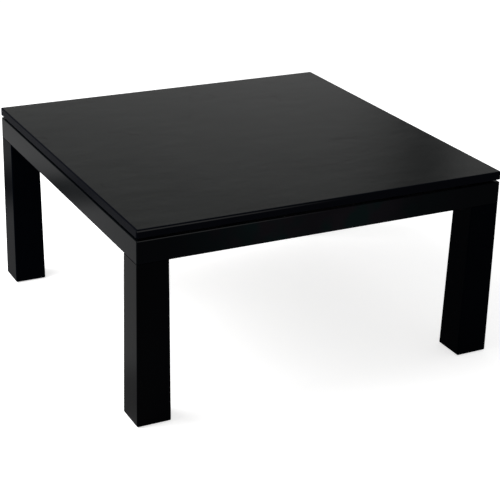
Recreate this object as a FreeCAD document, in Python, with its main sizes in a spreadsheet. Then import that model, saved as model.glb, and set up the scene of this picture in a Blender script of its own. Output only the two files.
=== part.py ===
import FreeCAD, Part
import math
import os
import re
import Sketcher

# Low square kotatsu: a lift-off top on a leg frame, with a fan heater hung under the frame's crossbars.
# Origin on the floor under the middle of the table, +Z up, the front towards -Y, lengths in millimetres.

SIZES = {
    # Whole table
    "table_width": 750,
    "table_depth": 750,
    "table_height": 380,
    "overrun": 5,
    "fit_clearance": 0.2,
    "corner_radius": 3,
    # Tabletop board
    "top_thickness": 16,
    "top_gap": 5,
    "top_overhang": 0.6,
    "top_arris": 1.6,
    "face_sheet": 0.8,
    "back_sheet": 0.8,
    "edge_band": 3,
    # Aprons and crossbars
    "apron_height": 43,
    "apron_thickness": 18,
    "apron_arris": 1.5,
    "seam_arris": 0.8,
    "heater_opening": 300,
    "bar_width": 22,
    "bar_height": 30,
    "bar_drop": 3,
    "tenon_length": 8,
    "tenon_thickness": 10,
    "tenon_height": 18,
    # Legs, corner blocks and what joins them
    "leg_width": 61,
    "foot_width": 66,
    "foot_arris": 1.5,
    "glide_width": 30,
    "glide_height": 2,
    "block_height": 33,
    "block_chamfer": 14,
    "bolt_diameter": 8,
    "bolt_length": 55,
    "bolt_head_width": 13,
    "bolt_head_height": 5.3,
    "bore_play": 2,
    "washer_width": 20,
    "washer_thickness": 1.6,
    "insert_diameter": 12,
    "dowel_thickness": 8,
    "dowel_width": 12,
    "dowel_length": 30,
    "cushion_width": 14,
    "cushion_inset": 80,
    # Heater case and cover
    "sheet": 0.8,
    "case_clearance": 4,
    "case_rise": 30,
    "case_radius": 12,
    "case_arris": 1,
    "cover_step": 4,
    "flange_width": 16,
    "flange_radius": 16,
    "vent_width": 4,
    "vent_length": 50,
    "vent_pitch": 14,
    "vent_edge": 26,
    "cover_depth": 22,
    "cover_radius": 16,
    "cover_lip": 14,
    "guard_opening_radius": 8,
    "side_vent_length": 12,
    "side_vent_height": 3,
    "side_vent_pitch": 20,
    "heater_screw_diameter": 4,
    "heater_screw_length": 14,
    "heater_screw_head": 8,
    "heater_screw_head_height": 2.4,
    "heater_screw_inset": 36,
    "heater_screw_slot": 7,
    # Wire guard
    "wire_diameter": 2.2,
    "wire_lap": 7,
    "rim_lap": 4.5,
    "wire_shoulder": 8,
    "wire_slope": 13,
    "guard_dip": 7,
    # Reflector, tubes and their brackets
    "reflector_level": 3.2,
    "reflector_lip": 8,
    "fan_gap": 4,
    "fan_collar": 3,
    "trough_radius": 24,
    "trough_margin": 2,
    "trough_gap": 4,
    "tube_drop": 9,
    "tube_diameter": 12,
    "tube_wall": 1.5,
    "coil_diameter": 6.5,
    "bracket_margin": 25.2,
    "bracket_overlap": 16,
    "bracket_sheet": 1,
    "bracket_foot": 12,
    "bracket_drop": 23,
    "cap_width": 18,
    "cap_reach": 11,
    "cap_floor": 3,
    "cap_flange": 21,
    "cap_flange_thickness": 3,
    # Fan motor
    "stack_width": 44,
    "stack_back": 20,
    "stack_front": 46,
    "stack_thickness": 8,
    "rotor_bore": 24,
    "air_gap": 0.3,
    "rotor_thickness": 5,
    "limb_width": 12,
    "window_start": 17,
    "window_width": 26,
    "winding_thickness": 10,
    "winding_width": 24,
    "winding_overhang": 3,
    "bridge_width": 12,
    "bridge_thickness": 1.2,
    "motor_spacer": 2,
    "spacer_width": 6,
    "motor_screw_diameter": 3,
    "motor_screw_spread": 34,
    "motor_screw_head": 5.5,
    "motor_screw_head_height": 2,
    "bush_diameter": 8,
    "bush_length": 1.9,
    "running_clearance": 0.05,
    # Fan
    "shaft_diameter": 3,
    "shaft_length": 24,
    "shaft_nose": 0.8,
    "hub_diameter": 14,
    "hub_height": 8,
    "hub_level": 5.5,
    "fan_diameter": 68,
    "blade_thickness": 0.9,
    "blade_root_width": 9,
    "blade_tip_width": 22,
    "blade_pitch_angle": 26,
    # Small electrical pieces
    "thermostat_distance": 72,
    "thermostat_diameter": 16,
    "thermostat_height": 8,
    "thermostat_base_length": 30,
    "thermostat_base_width": 17,
    "thermostat_base_thickness": 1,
    "blade_terminal_width": 6.3,
    "blade_terminal_thickness": 0.8,
    "blade_terminal_length": 7,
    "blade_terminal_spread": 8,
    "fuse_distance": 100,
    "fuse_diameter": 5,
    "fuse_length": 18,
    "terminal_block_distance": 92,
    "terminal_block_length": 20,
    "terminal_block_width": 40,
    "terminal_block_height": 13,
    "terminal_well": 6,
    "terminal_well_pitch": 12,
    "terminal_well_depth": 8,
    "inlet_corner_gap": 60,
    "inlet_width": 30,
    "inlet_height": 12,
    "inlet_depth": 18,
    "inlet_flange_margin": 2,
    "inlet_flange_thickness": 2,
    "inlet_wall": 2.5,
    "inlet_recess": 14,
    "inlet_pin_width": 5,
    "inlet_pin_thickness": 1.5,
    "inlet_pin_length": 10,
    "inlet_pin_spread": 12,
}

# Shares of a size, and counts
SHARES = {
    "blade_root_share": 0.7,
    "dowel_place_share": 0.2093,
}
CEILING_VENT_COUNT = 9
SIDE_VENT_COUNT = 9
LONG_WIRE_COUNT = 15
CROSS_WIRE_COUNT = 5
WIRE_FACE_COUNT = 6
BLADE_COUNT = 6
WELL_COUNT = 3

# Places that follow from the sizes
PLACES = {
    "top_underside": "table_height - top_thickness",
    "frame_top": "top_underside - top_gap",
    "frame_bottom": "frame_top - apron_height",
    "frame_half_width": "table_width / 2 - top_overhang",
    "frame_half_depth": "table_depth / 2 - top_overhang",
    "inner_width": "2 * frame_half_width - 2 * apron_thickness",
    "inner_depth": "2 * frame_half_depth - 2 * apron_thickness",
    "mitre_reach": "2 * apron_thickness",
    "block_top": "frame_bottom + block_height",
    "bolt_inset": "(apron_thickness + leg_width) / 2",
    "bolt_bore": "bolt_diameter + 2 * fit_clearance",
    "bolt_seat": "block_top + washer_thickness",
    "insert_bottom": "bolt_seat - bolt_length - bore_play",
    "insert_bore": "insert_diameter + 2 * fit_clearance",
    "dowel_inset": "apron_thickness + dowel_place_share * (leg_width - apron_thickness)",
    "bar_bottom": "frame_top - bar_drop - bar_height",
    "bar_centre": "heater_opening / 2 + bar_width / 2",
    "tenon_bottom": "bar_bottom + (bar_height - tenon_height) / 2",
    "case_width": "heater_opening - 2 * case_clearance",
    "case_inner": "case_width - 2 * sheet",
    "cover_width": "case_width + 2 * cover_step",
    "flange_outer": "cover_width + 2 * flange_width",
    "screw_row": "cover_width / 2 + flange_width / 2",
    "screw_spot": "case_width / 2 - heater_screw_inset",
    "heater_screw_bore": "heater_screw_diameter + 2 * fit_clearance",
    "vent_row": "case_width / 2 - vent_edge - vent_length / 2",
    "ceiling": "case_rise - sheet",
    "guard_opening": "cover_width - 2 * cover_lip",
    "guard_reach": "guard_opening + 2 * wire_lap",
    "guard_rim": "guard_opening + 2 * rim_lap",
    "guard_bend": "guard_opening - 2 * wire_shoulder",
    "guard_flat": "guard_bend - 2 * wire_slope",
    "reflector_top": "reflector_level + sheet",
    "fan_hole": "fan_diameter + 2 * fan_gap",
    "tube_row": "fan_hole / 2 + trough_radius + trough_margin",
    "tube_level": "-tube_drop",
    "bracket_seat": "case_inner / 2 - bracket_margin",
    "bracket_face": "bracket_seat + bracket_sheet",
    "tube_length": "2 * bracket_face - 2 * cap_floor",
    "wire_seat": "sheet - cover_depth + wire_diameter / 2",
    "upper_bridge_top": "ceiling - motor_spacer",
    "stack_top": "upper_bridge_top - bridge_thickness",
    "stack_bottom": "stack_top - stack_thickness",
    "lower_bridge_bottom": "stack_bottom - bridge_thickness",
    "motor_screw_bore": "motor_screw_diameter + 2 * fit_clearance",
    "shaft_bore": "shaft_diameter + 2 * running_clearance",
    "rotor_bottom": "stack_bottom + (stack_thickness - rotor_thickness) / 2",
    "limb_start": "stack_front - limb_width",
    "shaft_bottom": "upper_bridge_top + shaft_nose - shaft_length",
    "blade_root": "blade_root_share * hub_diameter / 2",
    "blade_level": "hub_level + hub_height / 2",
    "inlet_level": "-cover_depth / 2",
    "inlet_row": "inlet_corner_gap - cover_width / 2",
    "inlet_face": "cover_width / 2 + inlet_flange_thickness",
    "inlet_floor": "inlet_face - inlet_recess",
}

CORNERS = {
    "front_left": (-1, -1),
    "front_right": (1, -1),
    "rear_right": (1, 1),
    "rear_left": (-1, 1),
}
CORNER_ANGLES = {"front_left": 0, "front_right": 90, "rear_right": 180, "rear_left": 270}
SIDE_ANGLES = {"front": 0, "right": 90, "rear": 180, "left": 270}
SIDES = (-1, 1)
UP = FreeCAD.Vector(0, 0, 1)
START, END, CENTRE = range(1, 4)
LEVEL_TOLERANCE = 1e-4
TURN_TO_AXIS = {
    "x": FreeCAD.Rotation(FreeCAD.Vector(0, 1, 0), 90),
    "-x": FreeCAD.Rotation(FreeCAD.Vector(0, 1, 0), -90),
    "y": FreeCAD.Rotation(FreeCAD.Vector(1, 0, 0), -90),
    "-y": FreeCAD.Rotation(FreeCAD.Vector(1, 0, 0), 90),
    "z": FreeCAD.Rotation(),
    "-z": FreeCAD.Rotation(FreeCAD.Vector(1, 0, 0), 180),
}

doc = FreeCAD.newDocument("kotatsu_table")
sheet = doc.addObject("Spreadsheet::Sheet", "sizes")
for row, (alias, number) in enumerate(list(SIZES.items()) + list(SHARES.items()), start=1):
    sheet.set(f"A{row}", alias)
    sheet.set(f"B{row}", str(number))
    sheet.setAlias(f"B{row}", alias)
doc.recompute()
nodes = []


def formula(text):
    """Spell a size formula in the cells of the sheet, with each place written out in sizes."""

    def spell(match):
        word = match.group(0)
        if word in PLACES:
            return f"({formula(PLACES[word])})"
        if word in SIZES or word in SHARES:
            return f"sizes.{word}"
        return word

    return re.sub(r"[a-z][a-z_]*", spell, text)


def value(text):
    return float(sheet.evalExpression(formula(text)))


def bind(item, setting, text):
    item.setExpression(setting, formula(text))


def place(item, x="0", y="0", z="0", turn=0, axis="z"):
    """Put an object at a point, its own Z along the named axis, then turned about the vertical."""
    item.Placement.Rotation = FreeCAD.Rotation(UP, turn).multiply(TURN_TO_AXIS[axis])
    bind(item, "Placement.Base.x", x)
    bind(item, "Placement.Base.y", y)
    bind(item, "Placement.Base.z", z)
    return item


def keep(item, label):
    """Name an object as one separate piece of the table."""
    item.Label = label
    nodes.append(item)
    return item


def box(name, length, width, height, x="0", y="0", z="0"):
    """Block centred on x and y that stands on z."""
    block = doc.addObject("Part::Box", name)
    bind(block, "Length", length)
    bind(block, "Width", width)
    bind(block, "Height", height)
    return place(block, f"{x} - ({length}) / 2", f"{y} - ({width}) / 2", z)


def rod(name, diameter, length, x="0", y="0", z="0", axis="z"):
    """Round rod from a point along an axis."""
    cylinder = doc.addObject("Part::Cylinder", name)
    bind(cylinder, "Radius", f"({diameter}) / 2")
    bind(cylinder, "Height", length)
    return place(cylinder, x, y, z, axis=axis)


def hexagon(name, across, height, x="0", y="0", z="0"):
    """Six-sided bar, given across its flats, from a point upwards."""
    prism = doc.addObject("Part::Prism", name)
    prism.Polygon = 6
    bind(prism, "Circumradius", f"{across} / sqrt(3)")
    bind(prism, "Height", height)
    return place(prism, x, y, z)


def group(name, pieces):
    compound = doc.addObject("Part::Compound", name)
    compound.Links = pieces
    return compound


def cut(name, base, *tools):
    result = doc.addObject("Part::Cut", name)
    result.Base = base
    result.Tool = tools[0] if len(tools) == 1 else group(f"{name}_tools", list(tools))
    return result


def fuse(name, *pieces):
    result = doc.addObject("Part::MultiFuse", name)
    result.Shapes = list(pieces)
    return result


def ring(name, outer, inner, length, x="0", y="0", z="0", axis="z"):
    """Tube or washer from a point along an axis."""
    wall = rod(f"{name}_wall", outer, length)
    bore = rod(f"{name}_bore", inner, f"{length} + 2 * overrun", z="-overrun")
    return place(cut(name, wall, bore), x, y, z, axis=axis)


def new_body(name, x="0", y="0", z="0"):
    return place(doc.addObject("PartDesign::Body", name), x, y, z)


def new_sketch(body, name, plane="XY_Plane", offset="0"):
    sketch = body.newObject("Sketcher::SketchObject", f"{body.Name}_{name}")
    support = next(item for item in body.Origin.OriginFeatures if item.Role == plane)
    sketch.AttachmentSupport = [(support, "")]
    sketch.MapMode = "FlatFace"
    bind(sketch, "AttachmentOffset.Base.z", offset)
    return sketch


def pin(sketch, kind, geometry, point, text):
    """Hold one point of a sketch at a distance from the sketch's origin."""
    index = sketch.addConstraint(Sketcher.Constraint(kind, -1, 1, geometry, point, value(text)))
    bind(sketch, f"Constraints[{index}]", text)


def polygon(sketch, points):
    """Closed outline through points given as pairs of formulas."""
    first = sketch.GeometryCount
    corners = [FreeCAD.Vector(value(x), value(y), 0) for x, y in points]
    count = len(corners)
    for index in range(count):
        sketch.addGeometry(Part.LineSegment(corners[index], corners[(index + 1) % count]), False)
    for index in range(count):
        following = first + (index + 1) % count
        sketch.addConstraint(Sketcher.Constraint("Coincident", first + index, END, following, START))
    for index, (x, y) in enumerate(points):
        pin(sketch, "DistanceX", first + index, START, x)
        pin(sketch, "DistanceY", first + index, START, y)
    return sketch


def rectangle(sketch, width, height, x="0", y="0"):
    left = f"{x} - ({width}) / 2"
    right = f"{x} + ({width}) / 2"
    low = f"{y} - ({height}) / 2"
    high = f"{y} + ({height}) / 2"
    return polygon(sketch, [(left, low), (right, low), (right, high), (left, high)])


def regular_outline(sketch, width, count, x, y):
    """Regular outline round a point, given across its flats, of which one faces up and one faces down."""
    half_turn = 180 / count
    reach = f"{width} / 2 / cos({half_turn})"
    angles = [90 + half_turn * (2 * index + 1) for index in range(count)]
    return polygon(sketch, [(f"{x} + {reach} * cos({angle})", f"{y} + {reach} * sin({angle})")
                            for angle in angles])


def circle(sketch, diameter, x="0", y="0"):
    centre = FreeCAD.Vector(value(x), value(y), 0)
    index = sketch.addGeometry(Part.Circle(centre, UP, value(diameter) / 2), False)
    size = sketch.addConstraint(Sketcher.Constraint("Diameter", index, value(diameter)))
    bind(sketch, f"Constraints[{size}]", diameter)
    pin(sketch, "DistanceX", index, CENTRE, x)
    pin(sketch, "DistanceY", index, CENTRE, y)
    return sketch


def rounded_rectangle(sketch, width, height, radius, x="0", y="0"):
    """Rectangle with equal round corners, its lines and arcs tangent all round."""
    half_width = value(width) / 2
    half_height = value(height) / 2
    bend = value(radius)
    middle = FreeCAD.Vector(value(x), value(y), 0)
    first = sketch.GeometryCount
    turns = [(1, -1, 270), (1, 1, 0), (-1, 1, 90), (-1, -1, 180)]
    arcs = []
    for side_x, side_y, start in turns:
        centre = middle + FreeCAD.Vector(side_x * (half_width - bend), side_y * (half_height - bend), 0)
        round_corner = Part.Circle(centre, UP, bend)
        arcs.append(Part.ArcOfCircle(round_corner, math.radians(start), math.radians(start + 90)))
    for index, arc in enumerate(arcs):
        before = arcs[index - 1]
        sketch.addGeometry(Part.LineSegment(before.EndPoint, arc.StartPoint), False)
        sketch.addGeometry(arc, False)
    for index in range(8):
        following = first + (index + 1) % 8
        sketch.addConstraint(Sketcher.Constraint("Tangent", first + index, END, following, START))
    for index, direction in enumerate(("Horizontal", "Vertical", "Horizontal", "Vertical")):
        sketch.addConstraint(Sketcher.Constraint(direction, first + 2 * index))
    for index in (3, 5, 7):
        sketch.addConstraint(Sketcher.Constraint("Equal", first + 1, first + index))
    size = sketch.addConstraint(Sketcher.Constraint("Radius", first + 1, bend))
    bind(sketch, f"Constraints[{size}]", radius)
    pin(sketch, "DistanceY", first, START, f"{y} - ({height}) / 2")
    pin(sketch, "DistanceX", first + 2, START, f"{x} + ({width}) / 2")
    pin(sketch, "DistanceY", first + 4, START, f"{y} + ({height}) / 2")
    pin(sketch, "DistanceX", first + 6, START, f"{x} - ({width}) / 2")
    return sketch


def pad(body, sketch, length, downward=False, both_ways=False):
    feature = body.newObject("PartDesign::Pad", f"{sketch.Name}_pad")
    feature.Profile = sketch
    feature.SideType = "Symmetric" if both_ways else "One side"
    feature.Reversed = downward
    bind(feature, "Length", length)
    doc.recompute()
    return feature


def pocket(body, sketch, length, upward=False, both_ways=False):
    """Cut a sketch out of the body; the cut must take some of it away."""
    before = body.Shape.Volume
    feature = body.newObject("PartDesign::Pocket", f"{sketch.Name}_pocket")
    feature.Profile = sketch
    feature.SideType = "Symmetric" if both_ways else "One side"
    feature.Reversed = upward
    bind(feature, "Length", length)
    doc.recompute()
    if body.Shape.Volume >= before:
        raise ValueError(f"{feature.Name} cuts nothing")
    return feature


def soften(body, kind, setting, size, chosen):
    """Fillet or chamfer the edges of the body that a test picks."""
    base = body.Tip
    picked = [f"Edge{number}" for number, edge in enumerate(base.Shape.Edges, start=1) if chosen(edge)]
    feature = body.newObject(f"PartDesign::{kind}", f"{body.Name}_{kind.lower()}_{len(body.Group)}")
    feature.Base = (base, picked)
    bind(feature, setting, size)
    doc.recompute()
    return feature


def at_level(level):
    """Test for edges that lie flat at one height."""
    height = value(level)

    def lies_there(edge):
        bounds = edge.BoundBox
        return abs(bounds.ZMin - height) < LEVEL_TOLERANCE and abs(bounds.ZMax - height) < LEVEL_TOLERANCE

    return lies_there


def upright(edge):
    """Test for edges that stand up, or nearly."""
    bounds = edge.BoundBox
    return bounds.ZLength > bounds.XLength + bounds.YLength


def faces_towards(feature, direction):
    """Names of the flat faces of a feature that look one way."""
    wanted = FreeCAD.Vector(*direction)
    return [f"Face{number}" for number, face in enumerate(feature.Shape.Faces, start=1)
            if face.normalAt(0, 0).isEqual(wanted, LEVEL_TOLERANCE)]


def repeat(body, feature, axis, length, count):
    """Row of copies of a feature along one of the body's axes."""
    pattern = body.newObject("PartDesign::LinearPattern", f"{feature.Name}_row")
    pattern.Originals = [feature]
    direction = next(item for item in body.Origin.OriginFeatures if item.Role == axis)
    pattern.Direction = (direction, [""])
    bind(pattern, "Length", length)
    pattern.Occurrences = count
    body.Tip = pattern
    doc.recompute()
    return pattern


def hex_screw(name, diameter, length, head, head_height):
    """Screw whose shank runs up from the seat at zero; its six-sided head hangs below."""
    return fuse(name, hexagon(f"{name}_head", head, head_height, z=f"-{head_height}"),
                rod(f"{name}_shank", diameter, length))


def copy_of(form, name, x="0", y="0", z="0", turn=0, axis="z"):
    copy = group(name, [form])
    return place(copy, x, y, z, turn, axis)


def at_corners(form, name):
    """One copy per corner of the frame; a form's own origin is the outer corner, x and y run inwards."""
    copies = {}
    for corner, (side_x, side_y) in CORNERS.items():
        copies[corner] = copy_of(form, f"{corner}_{name}", f"{side_x} * frame_half_width",
                                 f"{side_y} * frame_half_depth", turn=CORNER_ANGLES[corner])
    return copies


def mitre(side):
    """Wedge that takes one side out of a mitred ring."""
    body = new_body(f"{side}_mitre")
    across_front = side in ("front", "rear")
    along, across = ("table_width", "table_depth") if across_front else ("table_depth", "table_width")
    sketch = polygon(new_sketch(body, "plan", offset="frame_bottom - overrun"), [
        (f"-{along} / 2 - overrun", f"-{across} / 2 - overrun"),
        (f"{along} / 2 + overrun", f"-{across} / 2 - overrun"),
        (f"{along} / 2 - mitre_reach", f"-{across} / 2 + mitre_reach"),
        (f"-{along} / 2 + mitre_reach", f"-{across} / 2 + mitre_reach"),
    ])
    pad(body, sketch, "table_height - frame_bottom + 2 * overrun")
    body.Placement.Rotation = FreeCAD.Rotation(UP, SIDE_ANGLES[side])
    return body


def side_of(ring_body, wedge, name):
    common = doc.addObject("Part::Common", name)
    common.Base = ring_body
    common.Tool = wedge
    return common


def tabletop(wedges):
    """Core board between a glossy face sheet and a back sheet, closed by four mitred edge bands."""
    inner_width = "table_width - 2 * edge_band"
    inner_depth = "table_depth - 2 * edge_band"
    core_height = "top_thickness - face_sheet - back_sheet"
    keep(box("core", inner_width, inner_depth, core_height, z="top_underside + back_sheet"), "tabletop_core")
    face = box("face", inner_width, inner_depth, "face_sheet", z="table_height - face_sheet")
    keep(face, "tabletop_face_sheet")
    keep(box("back", inner_width, inner_depth, "back_sheet", z="top_underside"), "tabletop_back_sheet")
    bands = new_body("edge_bands")
    plan = rounded_rectangle(
        new_sketch(bands, "plan", offset="top_underside"), "table_width", "table_depth", "corner_radius")
    pad(bands, plan, "top_thickness")
    soften(bands, "Fillet", "Radius", "top_arris", at_level("table_height"))
    soften(bands, "Chamfer", "Size", "seam_arris", at_level("top_underside"))
    pocket(bands, rectangle(new_sketch(bands, "inside", offset="table_height"), inner_width, inner_depth),
           "top_thickness")
    for side, wedge in wedges.items():
        keep(side_of(bands, wedge, f"{side}_band"), f"{side}_edge_band")


def aprons(wedges):
    """Four mitred boards, mortised for the crossbars."""
    band = new_body("apron_band")
    outer = ("2 * frame_half_width", "2 * frame_half_depth")
    plan = rounded_rectangle(new_sketch(band, "plan", offset="frame_bottom"), *outer, "corner_radius")
    pad(band, plan, "apron_height")
    soften(band, "Fillet", "Radius", "apron_arris", at_level("frame_top"))
    soften(band, "Chamfer", "Size", "seam_arris", at_level("frame_bottom"))
    pocket(band, rectangle(new_sketch(band, "inside", offset="frame_top"), "inner_width", "inner_depth"),
           "apron_height")
    mortised = cut("mortised_band", band, *tenons("mortise"))
    for side, wedge in wedges.items():
        keep(side_of(mortised, wedge, f"{side}_board"), f"{side}_apron")


def tenons(name):
    """Full-length cores of the crossbars, as wide and high as their tenons."""
    along = "inner_depth + 2 * tenon_length"
    across = "inner_width + 2 * tenon_length"
    cores = []
    for side in SIDES:
        cores.append(box(f"{name}_along", "tenon_thickness", along, "tenon_height",
                         x=f"{side} * bar_centre", z="tenon_bottom"))
    for side in SIDES:
        cores.append(box(f"{name}_across", across, "tenon_thickness", "tenon_height",
                         y=f"{side} * bar_centre", z="tenon_bottom"))
    return cores


def heater_screw_places():
    """Four places in the heater's flange, two under each of the bars that run front to back."""
    return [(f"{side_x} * screw_row", f"{side_y} * screw_spot") for side_x in SIDES for side_y in SIDES]


def crossbars():
    """Two bars front to back and two side to side, half-lapped where they cross, tenoned at their ends."""
    half = "bar_height / 2"
    notch_reach = "bar_width + 2 * overrun"
    cores = tenons("tenon")
    pilot_length = "heater_screw_length + bore_play + overrun"
    pilots = [rod("pilot", "heater_screw_bore", pilot_length, x, y, "bar_bottom - overrun")
              for x, y in heater_screw_places()]
    names = ("left", "right", "front", "rear")
    for index, (name, side) in enumerate(zip(names, SIDES + SIDES)):
        centre = f"{side} * bar_centre"
        if name in ("left", "right"):
            blank = box(f"{name}_blank", "bar_width", "inner_depth", "bar_height", x=centre, z="bar_bottom")
            cuts = [box(f"{name}_notch", notch_reach, "bar_width", f"{half} + overrun",
                        x=centre, y=f"{end} * bar_centre", z=f"bar_bottom + {half}") for end in SIDES]
            cuts += pilots
        else:
            blank = box(f"{name}_blank", "inner_width", "bar_width", "bar_height", y=centre, z="bar_bottom")
            cuts = [box(f"{name}_notch", "bar_width", notch_reach, f"{half} + overrun",
                        x=f"{end} * bar_centre", y=centre, z="bar_bottom - overrun") for end in SIDES]
        bar = fuse(f"{name}_bar_with_tenons", blank, cores[index])
        keep(cut(f"{name}_bar", bar, *cuts), f"{name}_crossbar")


def dowel_slot(body):
    """Slot for a flat dowel, open at the plane where the frame sits on the legs."""
    slot = new_sketch(body, "dowel_slot", offset="frame_bottom")
    return rectangle(slot, "dowel_thickness + 2 * fit_clearance", "dowel_width + 2 * fit_clearance",
                     "dowel_inset", "dowel_inset")


def corner_blocks():
    """Blocks glued into the mitres, bored for the leg bolt and slotted for the flat dowel."""
    body = new_body("block_form")
    near = "apron_thickness"
    far = "leg_width"
    outline = [(near, near), (far, near), (far, f"{far} - block_chamfer"), (f"{far} - block_chamfer", far),
               (near, far)]
    pad(body, polygon(new_sketch(body, "plan", offset="frame_bottom"), outline), "block_height")
    bolt_hole = circle(new_sketch(body, "bolt_hole", offset="block_top"), "bolt_bore", "bolt_inset",
                       "bolt_inset")
    pocket(body, bolt_hole, "block_height")
    pocket(body, dowel_slot(body), "dowel_length / 2", upward=True)
    for corner, copy in at_corners(body, "block").items():
        keep(copy, f"{corner}_corner_block")


def legs():
    """Four legs under the frame's corners, upright outside and widening inwards towards the floor."""
    body = new_body("leg_form")
    head = rectangle(new_sketch(body, "head", offset="frame_bottom"), "leg_width", "leg_width",
                     "leg_width / 2", "leg_width / 2")
    blank = pad(body, head, "frame_bottom - glide_height", downward=True)
    flare = body.newObject("PartDesign::Draft", "leg_flare")
    flare.Base = (blank, faces_towards(blank, (1, 0, 0)) + faces_towards(blank, (0, 1, 0)))
    flare.NeutralPlane = (blank, faces_towards(blank, (0, 0, 1)))
    bind(flare, "Angle", "atan((foot_width - leg_width) / (frame_bottom - glide_height))")
    doc.recompute()
    soften(body, "Fillet", "Radius", "corner_radius", upright)
    soften(body, "Chamfer", "Size", "foot_arris", at_level("glide_height"))
    soften(body, "Chamfer", "Size", "seam_arris", at_level("frame_bottom"))
    insert_hole = circle(new_sketch(body, "insert_hole", offset="frame_bottom"), "insert_bore", "bolt_inset",
                         "bolt_inset")
    pocket(body, insert_hole, "frame_bottom - insert_bottom")
    pocket(body, dowel_slot(body), "dowel_length / 2")
    for corner, copy in at_corners(body, "leg_copy").items():
        keep(copy, f"{corner}_leg")


def leg_hardware():
    """Bolt, plate washer, threaded insert, dowel and glide of each leg, and the cushion pads near it."""
    inset = ("bolt_inset", "bolt_inset")
    bolt = fuse("leg_bolt", hexagon("bolt_head", "bolt_head_width", "bolt_head_height", *inset, "bolt_seat"),
                rod("bolt_shank", "bolt_diameter", "bolt_length", *inset, "bolt_seat - bolt_length"))
    plate = box("washer_plate", "washer_width", "washer_width", "washer_thickness", *inset, "block_top")
    washer_hole = rod("washer_hole", "bolt_bore", "washer_thickness + 2 * overrun", *inset,
                      "block_top - overrun")
    washer = cut("leg_washer", plate, washer_hole)
    insert = ring("leg_insert", "insert_diameter", "bolt_bore", "frame_bottom - insert_bottom", *inset,
                  "insert_bottom")
    dowel = box("dowel", "dowel_thickness", "dowel_width", "dowel_length", "dowel_inset", "dowel_inset",
                "frame_bottom - dowel_length / 2")
    glide = box("glide", "glide_width", "glide_width", "glide_height", "foot_width / 2", "foot_width / 2")
    cushions = group("cushion_pair", [
        box("cushion", "cushion_width", "cushion_width", "top_gap", x, y, "frame_top")
        for x, y in (("apron_thickness / 2", "cushion_inset"), ("cushion_inset", "apron_thickness / 2"))])
    for form, label in ((bolt, "leg_bolts"), (washer, "leg_bolt_washers"), (insert, "leg_threaded_inserts"),
                        (dowel, "leg_dowels"), (glide, "foot_glides"), (cushions, "tabletop_cushion_pads")):
        keep(group(f"{label}_group", list(at_corners(form, label).values())), label)


def flange_slots(body):
    """Slotted screw holes through the flange, which let the heater shift a little before it is tightened."""
    sketch = new_sketch(body, "screw_slots", offset="overrun")
    for x, y in heater_screw_places():
        rectangle(sketch, "heater_screw_bore", "heater_screw_slot", x, y)
    pocket(body, sketch, "2 * overrun")


def heater_case():
    """Pressed pan that reaches up between the crossbars, its flange against their undersides."""
    body = new_body("heater_case", z="bar_bottom")
    pan = rounded_rectangle(new_sketch(body, "pan"), "case_width", "case_width", "case_radius")
    pad(body, pan, "case_rise")
    soften(body, "Chamfer", "Size", "case_arris", at_level("case_rise"))
    pad(body, rounded_rectangle(new_sketch(body, "flange"), "flange_outer", "flange_outer", "flange_radius"),
        "sheet", downward=True)
    inside = rounded_rectangle(new_sketch(body, "inside", offset="-sheet"), "case_inner", "case_inner",
                               "case_radius - sheet")
    pocket(body, inside, "case_rise", upward=True)
    flange_slots(body)
    mount_holes = new_sketch(body, "motor_holes", offset="case_rise + overrun")
    for side in SIDES:
        circle(mount_holes, "motor_screw_bore", y=f"{side} * motor_screw_spread / 2")
    pocket(body, mount_holes, "sheet + 2 * overrun")
    vents = new_sketch(body, "vents", offset="case_rise + overrun")
    row = f"{CEILING_VENT_COUNT - 1} * vent_pitch"
    for side in SIDES:
        rectangle(vents, "vent_width", "vent_length", f"-{row} / 2", f"{side} * vent_row")
    slots = pocket(body, vents, "sheet + 2 * overrun")
    repeat(body, slots, "X_Axis", row, CEILING_VENT_COUNT)
    keep(body, "heater_case")


def heater_cover():
    """Deep ring under the case: flange, upright wall with warm air slots, and a lip that holds the guard."""
    body = new_body("cover_blank", z="bar_bottom")
    pad(body, rounded_rectangle(new_sketch(body, "flange", offset="-sheet"), "flange_outer", "flange_outer",
                                "flange_radius"), "sheet", downward=True)
    pad(body, rounded_rectangle(new_sketch(body, "wall", offset="-sheet"), "cover_width", "cover_width",
                                "cover_radius"), "cover_depth - sheet", downward=True)
    inside = rounded_rectangle(new_sketch(body, "inside", offset="-sheet"), "cover_width - 2 * sheet",
                               "cover_width - 2 * sheet", "cover_radius - sheet")
    pocket(body, inside, "cover_depth - 2 * sheet")
    opening = new_sketch(body, "opening", offset="-sheet")
    rounded_rectangle(opening, "guard_opening", "guard_opening", "guard_opening_radius")
    pocket(body, opening, "cover_depth")
    flange_slots(body)
    row = f"{SIDE_VENT_COUNT - 1} * side_vent_pitch"
    slots = rectangle(new_sketch(body, "slots", "YZ_Plane"), "side_vent_length", "side_vent_height",
                      f"-{row} / 2", "-cover_depth / 2")
    cuts = pocket(body, slots, "flange_outer", both_ways=True)
    repeat(body, cuts, "Y_Axis", row, SIDE_VENT_COUNT)
    hole = box("inlet_hole", "inlet_width", "2 * inlet_depth", "inlet_height",
               "inlet_row", "cover_width / 2", "bar_bottom + inlet_level - inlet_height / 2")
    keep(cut("heater_cover", body, hole), "heater_cover")


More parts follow.
